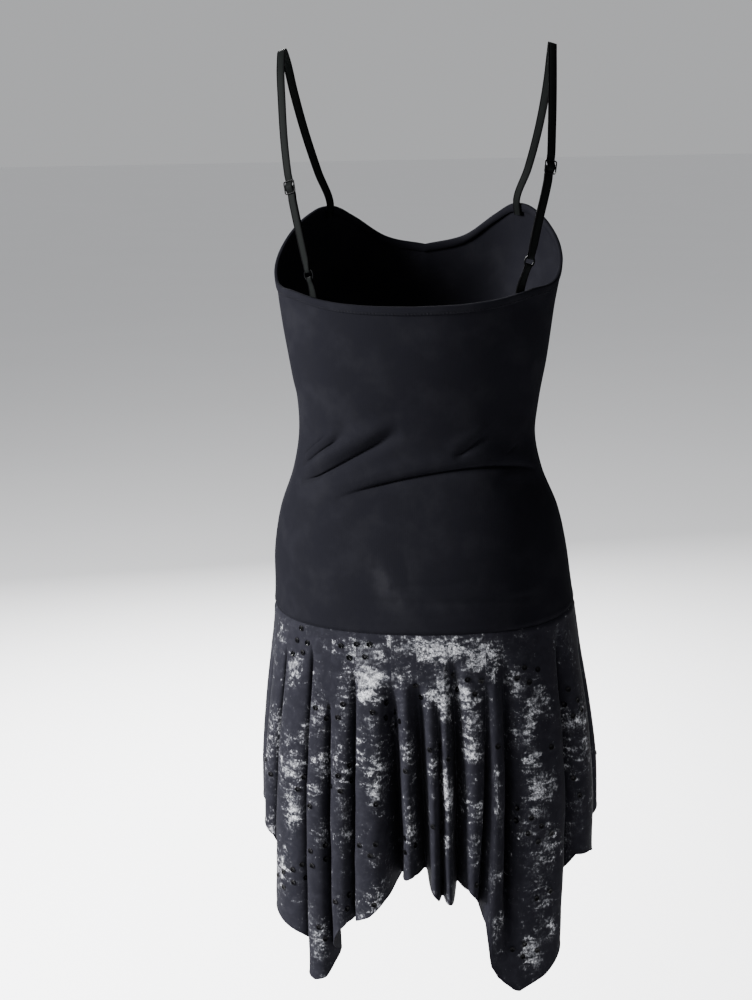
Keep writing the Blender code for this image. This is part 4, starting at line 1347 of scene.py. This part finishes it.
# %% The line of a strap
class StrapLine:
    """The line one strap follows, with the frame its ribbon, slider and ring are set in."""

    def __init__(self, side, rows, ends):
        points = np.stack([side * rows["x"], rows["y"], rows["z"]], axis=-1)
        self.side = side
        self.points = np.concatenate([ends[0][0], points, ends[1][0][::-1]])
        self.turns = np.concatenate([ends[0][1], rows["turn"], ends[1][1]])
        self.lengths = travelled(self.points)

    def point(self, length):
        """Return the line's point at a length."""
        return np.stack([smooth(length, self.lengths, self.points[:, k]) for k in range(3)], -1)

    def at(self, length):
        """Return the line's point, direction, outward normal and width direction."""
        length = np.atleast_1d(np.asarray(length, dtype=float))
        along = unit(self.point(length + 0.5) - self.point(length - 0.5))
        turn = np.radians(smooth(length, self.lengths, self.turns))
        side_axis = np.array([self.side, 0.0, 0.0])
        straight_out = unit(np.cross(along, np.array([1.0, 0.0, 0.0])))
        out = np.cos(turn)[:, None] * straight_out + np.sin(turn)[:, None] * side_axis
        out = unit(out - np.sum(out * along, axis=-1, keepdims=True) * along)
        return self.point(length), along, out, np.cross(along, out)

    def length_at_level(self, level):
        """Return the length at which the back part of the line reaches a level."""
        lengths = np.linspace(0.0, 0.5 * self.lengths[-1], 2000)
        return float(np.interp(level, self.at(lengths)[0][:, 2], lengths))


def sewn_end(angle):
    """Return the two points and turns of a strap line's end, sewn inside the bodice's edge."""
    depth = SOLID_WALL + 2 * CLEARANCE + BINDING_THICK + SEWN_PLAY + STRAP_THICK + 0.5 * CLEARANCE
    angle = np.full(2, float(angle))
    level = top_edge(angle) + np.array([-SEWN_DEPTH, 2.0])
    normal = bodice_outward(angle, level)
    turn = np.degrees(np.arctan2(np.abs(normal[:, 0]), np.abs(normal[:, 1])))
    return bodice(angle, level) - depth * normal, turn


# %% [markdown]
# ## Round the slider and the ring
#
# A station is a length on the line, a distance out of it and the width of the ribbon there. The
# ribbon narrows a little where it turns round the ring.

# %% The course of the ribbon
def strap_course(line, slider_length, ring_length):
    """Return the strap's stations: length, way out and width, from the slider round the ring."""
    layer = 0.5 * (STRAP_THICK + CLEARANCE)
    round_bar = 0.5 * SLIDER_BAR + CLEARANCE + 0.5 * STRAP_THICK
    plane = 2 * layer
    wire = RING_WIRE + CLEARANCE + 0.5 * STRAP_THICK
    top_wire = ring_length + RING_RADIUS
    fold = top_wire - RING_FOLD
    full = STRAP_WIDTH
    narrow = STRAP_END_WIDTH
    to_ring = [
        (0.5 * (slider_length + top_wire), layer, full),
        (top_wire + 9.0, layer, full),
        (top_wire + 3.5, 1.1, narrow + 0.6),
        (top_wire, wire, narrow),
        (fold + 0.8, 0.85 * wire, narrow),
        (fold, 0.45 * wire, narrow),
    ]
    course = [
        (slider_length + 1.4, plane - round_bar, full),
        (slider_length - 1.4, plane - round_bar, full),
        (slider_length - 3.8, plane - round_bar - 0.8, full),
        (slider_length - SLIDER_PITCH - 0.8, plane - round_bar - 2 * layer, full),
        (slider_length - SLIDER_PITCH - 6.0, -layer, full),
        *[(length, -out, width) for length, out, width in to_ring],
        *reversed(to_ring),
        (slider_length - SLIDER_PITCH - 6.0, layer, full),
        (slider_length - SLIDER_PITCH - 0.4, plane - round_bar, full),
        (slider_length - SLIDER_PITCH + 0.7, plane - round_bar + 0.1, full),
        (slider_length - 1.6, plane + round_bar - 0.3, full),
        (slider_length, plane + round_bar, full),
        (slider_length + 1.6, plane + round_bar - 0.3, full),
        (slider_length + SLIDER_PITCH - 0.7, plane - round_bar + 0.1, full),
        (slider_length + SLIDER_PITCH + 0.4, plane - round_bar, full),
        (slider_length + SLIDER_PITCH + 6.0, layer, full),
    ]
    rest = np.linspace(slider_length + SLIDER_PITCH + 12.0, line.lengths[-1], STRAP_STATIONS)
    return course + [(length, layer, full) for length in rest]


def tab_course(ring_length):
    """Return the stations of the loop that ties a ring to the bodice: up, round the wire, down."""
    layer = 0.5 * (STRAP_THICK + CLEARANCE)
    wire = RING_WIRE + CLEARANCE + 0.5 * STRAP_THICK
    low_wire = ring_length - RING_RADIUS
    fold = low_wire + RING_FOLD
    narrow = STRAP_END_WIDTH
    side = [
        (0.0, layer, STRAP_WIDTH),
        (0.5 * (low_wire - 4.5), layer, STRAP_WIDTH),
        (low_wire - 4.5, layer, narrow + 0.6),
        (low_wire - 2.2, 1.0, narrow),
        (low_wire, wire, narrow),
        (fold - 0.8, 0.85 * wire, narrow),
        (fold, 0.45 * wire, narrow),
    ]
    return side + [(length, -out, width) for length, out, width in reversed(side)]


# %% [markdown]
# ## Swept shapes
#
# The ribbon, the ring and the slider are all swept: a closed section is repeated along a path and
# joined by quads. The slider adds a bar across its middle.

# %% Ribbon, ring and slider
RIBBON_SECTION = (
    (-1.0, 0.0, 1), (-0.97, 0.34, 1), (-0.86, 0.43, 1), (-0.74, 0.40, 1), (-0.69, 0.33, 1),
    (-0.63, 0.42, 0), (-0.3, 0.48, 0), (0.0, 0.5, 0), (0.3, 0.48, 0), (0.63, 0.42, 0),
    (0.69, 0.33, 1), (0.74, 0.40, 1), (0.86, 0.43, 1), (0.97, 0.34, 1), (1.0, 0.0, 1),
)
STATION_STEP = 0.9
SQUARED = 0.75


def finer(course):
    """Fill in a course of stations, following it along its own length and not overshooting."""
    course = np.array(course)
    travel = travelled(course[:, :2])
    between = np.arange(0.0, travel[-1], STATION_STEP)
    at = np.unique(np.concatenate([travel, between]))
    at = at[np.concatenate([[True], np.diff(at) > 0.2])]
    plain = np.stack([np.interp(at, travel, course[:, k]) for k in range(3)], axis=-1)
    for _ in range(3):
        plain[1:-1] = 0.25 * plain[:-2] + 0.5 * plain[1:-1] + 0.25 * plain[2:]
    return plain


def ribbon(name, line, course, material, nodes):
    """Make a ribbon along a strap line."""
    lengths, outs, widths = finer(course).T
    place, along, out, across = line.at(lengths)
    centre = place + outs[:, None] * out
    face = np.cross(across, unit(np.gradient(centre, axis=0)))
    section = list(RIBBON_SECTION) + [(x, -h, b) for x, h, b in reversed(RIBBON_SECTION[1:-1])]
    rings = np.stack([
        centre + 0.5 * x * widths[:, None] * across + h * STRAP_THICK * face for x, h, b in section
    ], axis=1)
    piece = new_piece(name, rings.reshape(-1, 3), sweep(*rings.shape[:2]), material, nodes)
    on_cloth = np.zeros(rings.shape)
    on_cloth[..., 0] = np.array([x for x, h, b in section]) * 0.5 * STRAP_WIDTH * MILLIMETRE
    on_cloth[..., 1] = travelled(centre)[:, None] * MILLIMETRE
    add_attribute(piece, "cloth", on_cloth.reshape(-1, 3))
    borders = np.broadcast_to(np.array([float(b) for x, h, b in section]), rings.shape[:2])
    add_attribute(piece, "border", borders.ravel())
    return piece


def frame_points(line, length, out, flat):
    """Set points given across, along and out of the ribbon at one place on a strap line."""
    place, along, normal, across = (v[0] for v in line.at(length))
    origin = place + out * normal
    flat = np.asarray(flat, dtype=float)
    return origin + flat[..., :1] * across + flat[..., 1:2] * along + flat[..., 2:] * normal


def tube(path, thick_across, thick_out, sides=12):
    """Return the rings of a closed tube round a flat closed path, with a rounded section."""
    path = np.asarray(path, dtype=float)
    ahead_of = unit(np.roll(path, -1, axis=0) - np.roll(path, 1, axis=0))
    away = np.stack([ahead_of[:, 1], -ahead_of[:, 0]], axis=-1)
    turn = 2 * math.pi * np.arange(sides) / sides
    across = np.sign(np.cos(turn)) * np.abs(np.cos(turn)) ** SQUARED * 0.5 * thick_across
    up = np.sign(np.sin(turn)) * np.abs(np.sin(turn)) ** SQUARED * 0.5 * thick_out
    flat = path[:, None, :] + across[None, :, None] * away[:, None, :]
    height = np.broadcast_to(up, flat.shape[:2])[..., None]
    return np.concatenate([flat, height], axis=-1)


def rounded_path(half_x, half_y, radius):
    """Return the points of a rounded rectangle, running anticlockwise."""
    path = []
    for quarter, (sx, sy) in enumerate(((1, 1), (-1, 1), (-1, -1), (1, -1))):
        for k in range(CORNER_STEPS + 1):
            turn = 0.5 * math.pi * (quarter + k / CORNER_STEPS)
            path.append((sx * (half_x - radius) + radius * math.cos(turn),
                         sy * (half_y - radius) + radius * math.sin(turn)))
    return path


def make_ring(name, line, ring_length, material, nodes):
    """Make the round wire ring."""
    turns = 2 * math.pi * np.arange(64) / 64
    path = RING_RADIUS * np.stack([np.cos(turns), np.sin(turns)], axis=-1)
    rings = frame_points(line, ring_length, 0.0, tube(path, 2 * RING_WIRE, 2 * RING_WIRE, 16))
    faces = sweep(*rings.shape[:2], closed=True)
    return new_piece(name, rings.reshape(-1, 3), faces, material, nodes)


def make_slider(name, line, slider_length, material, nodes):
    """Make the slider: a rounded frame with a bar across its middle."""
    plane = STRAP_THICK + CLEARANCE
    half_x = 0.5 * (SLIDER_WIDTH - SLIDER_BAR)
    path = rounded_path(half_x, SLIDER_PITCH, SLIDER_CORNER)
    outer = frame_points(line, slider_length, plane, tube(path, SLIDER_BAR, SLIDER_BAR))
    reach = np.linspace(-half_x, half_x, 9)
    turns = 2 * math.pi * np.arange(12) / 12
    half_bar = 0.5 * SLIDER_BAR
    bar = [[(x, half_bar * math.cos(turn), half_bar * math.sin(turn)) for turn in turns] for x in reach]
    bar = frame_points(line, slider_length, plane, np.array(bar))
    faces = sweep(*outer.shape[:2], closed=True)
    first = outer.shape[0] * outer.shape[1]
    faces += [tuple(first + v for v in face) for face in sweep(*bar.shape[:2])]
    points = np.concatenate([outer.reshape(-1, 3), bar.reshape(-1, 3)])
    return new_piece(name, points, faces, material, nodes)


# %% [markdown]
# ## Making both sides
#
# The two straps differ in their lines and in where the sliders and rings sit. One loop makes both.

# %% Both straps
for side_name, side, rows, slider_level, ring_level, tab_angle in STRAP_SIDES:
    line = StrapLine(side, rows, (sewn_end(side * tab_angle), sewn_end(side * FRONT_POINT_ANGLE)))
    slider_length = line.length_at_level(slider_level)
    ring_length = line.length_at_level(ring_level)
    satin = satin_finish("strap satin " + side_name)
    gloss = gloss_finish("gloss plastic " + side_name, 0.34, 0.012)
    course = strap_course(line, slider_length, ring_length)
    ribbon("ribbon_" + side_name, line, course, satin, ["strap_" + side_name])
    ribbon("ribbon_tab_" + side_name, line, tab_course(ring_length), satin, ["strap_tab_" + side_name])
    make_ring("ring_" + side_name, line, ring_length, gloss, ["strap_ring_" + side_name])
    make_slider("slider_" + side_name, line, slider_length, gloss, ["strap_slider_" + side_name])
    print(side_name, "strap line:", round(float(line.lengths[-1])), "mm")

# %% [markdown]
# ## The worn area of each sheet
#
# The bodice's jersey is cut a little smaller than the form it is worn on, and stretches. Each
# half of the skirt is nearly half of a ring, which fills less than half of the rectangle round
# it. The binding is a straight strip folded along its length. The straps are woven ribbon, not
# cut cloth. The area of each bodice, skirt and binding piece, as worn, is printed.

def worn_area(piece):
    """Return the area of a piece's mesh in square metres, before its wall is added."""
    return sum(polygon.area for polygon in piece.data.polygons)


for piece in (bodice_back, bodice_front, skirt_back, skirt_front, binding_back, binding_front):
    print(piece.name, "worn area", round(worn_area(piece), 4))

# %% [markdown]
# ## Floor and light
#
# The light in the photograph is soft and comes from the left, on a white ground. A pale floor and
# world give the ground. One lamp on the left grazes the folds and gives their sheen, a very weak one
# lifts the right, and a third lights the front, so that the dress can be looked at from all sides.

# %% Floor, world and lamps
FLOOR_LEVEL = -1.42
FLOOR_REACH = 60.0
FLOOR_CORNERS = ((-1, -1), (1, -1), (1, 1), (-1, 1))


def floor_finish():
    """Make the floor's pale matt paint."""
    finish = Finish("pale floor", Specular_IOR_Level=0.2)
    place = finish.node("TexCoord", output=3)
    cloud = finish.noise(place, 1.2, 3.0)
    finish.wear("Base Color", finish.mix(cloud, color(0.90, 0.90, 0.91), color(0.93, 0.93, 0.94)))
    finish.wear("Roughness", 0.8 + cloud * 0.1)
    return finish.material


floor_points = [(x * FLOOR_REACH, y * FLOOR_REACH, FLOOR_LEVEL) for x, y in FLOOR_CORNERS]
floor_mesh = bpy.data.meshes.new("floor")
floor_mesh.from_pydata(floor_points, [], [(0, 1, 2, 3)])
floor_mesh.materials.append(floor_finish())
floor = bpy.data.objects.new("floor", floor_mesh)
bpy.context.scene.collection.objects.link(floor)

world = bpy.data.worlds.new("studio")
world.use_nodes = True
world.node_tree.nodes["Background"].inputs["Color"].default_value = color(0.95, 0.96, 0.98)
world.node_tree.nodes["Background"].inputs["Strength"].default_value = 0.5
bpy.context.scene.world = world


def add_lamp(name, place, size, power):
    """Add a soft square lamp that faces the middle of the dress."""
    data = bpy.data.lights.new(name, "AREA")
    data.size = size
    data.energy = power
    lamp = bpy.data.objects.new(name, data)
    bpy.context.scene.collection.objects.link(lamp)
    lamp.location = place
    lamp.rotation_euler = (AIM - Vector(place)).to_track_quat("-Z", "Y").to_euler()
    return lamp


add_lamp("key from the left", (2.25, 0.9, 0.55), 0.8, 560.0)
add_lamp("fill from the right", (-1.8, 1.6, 0.0), 1.4, 4.0)
add_lamp("front light", (0.6, -2.2, 0.6), 1.2, 280.0)
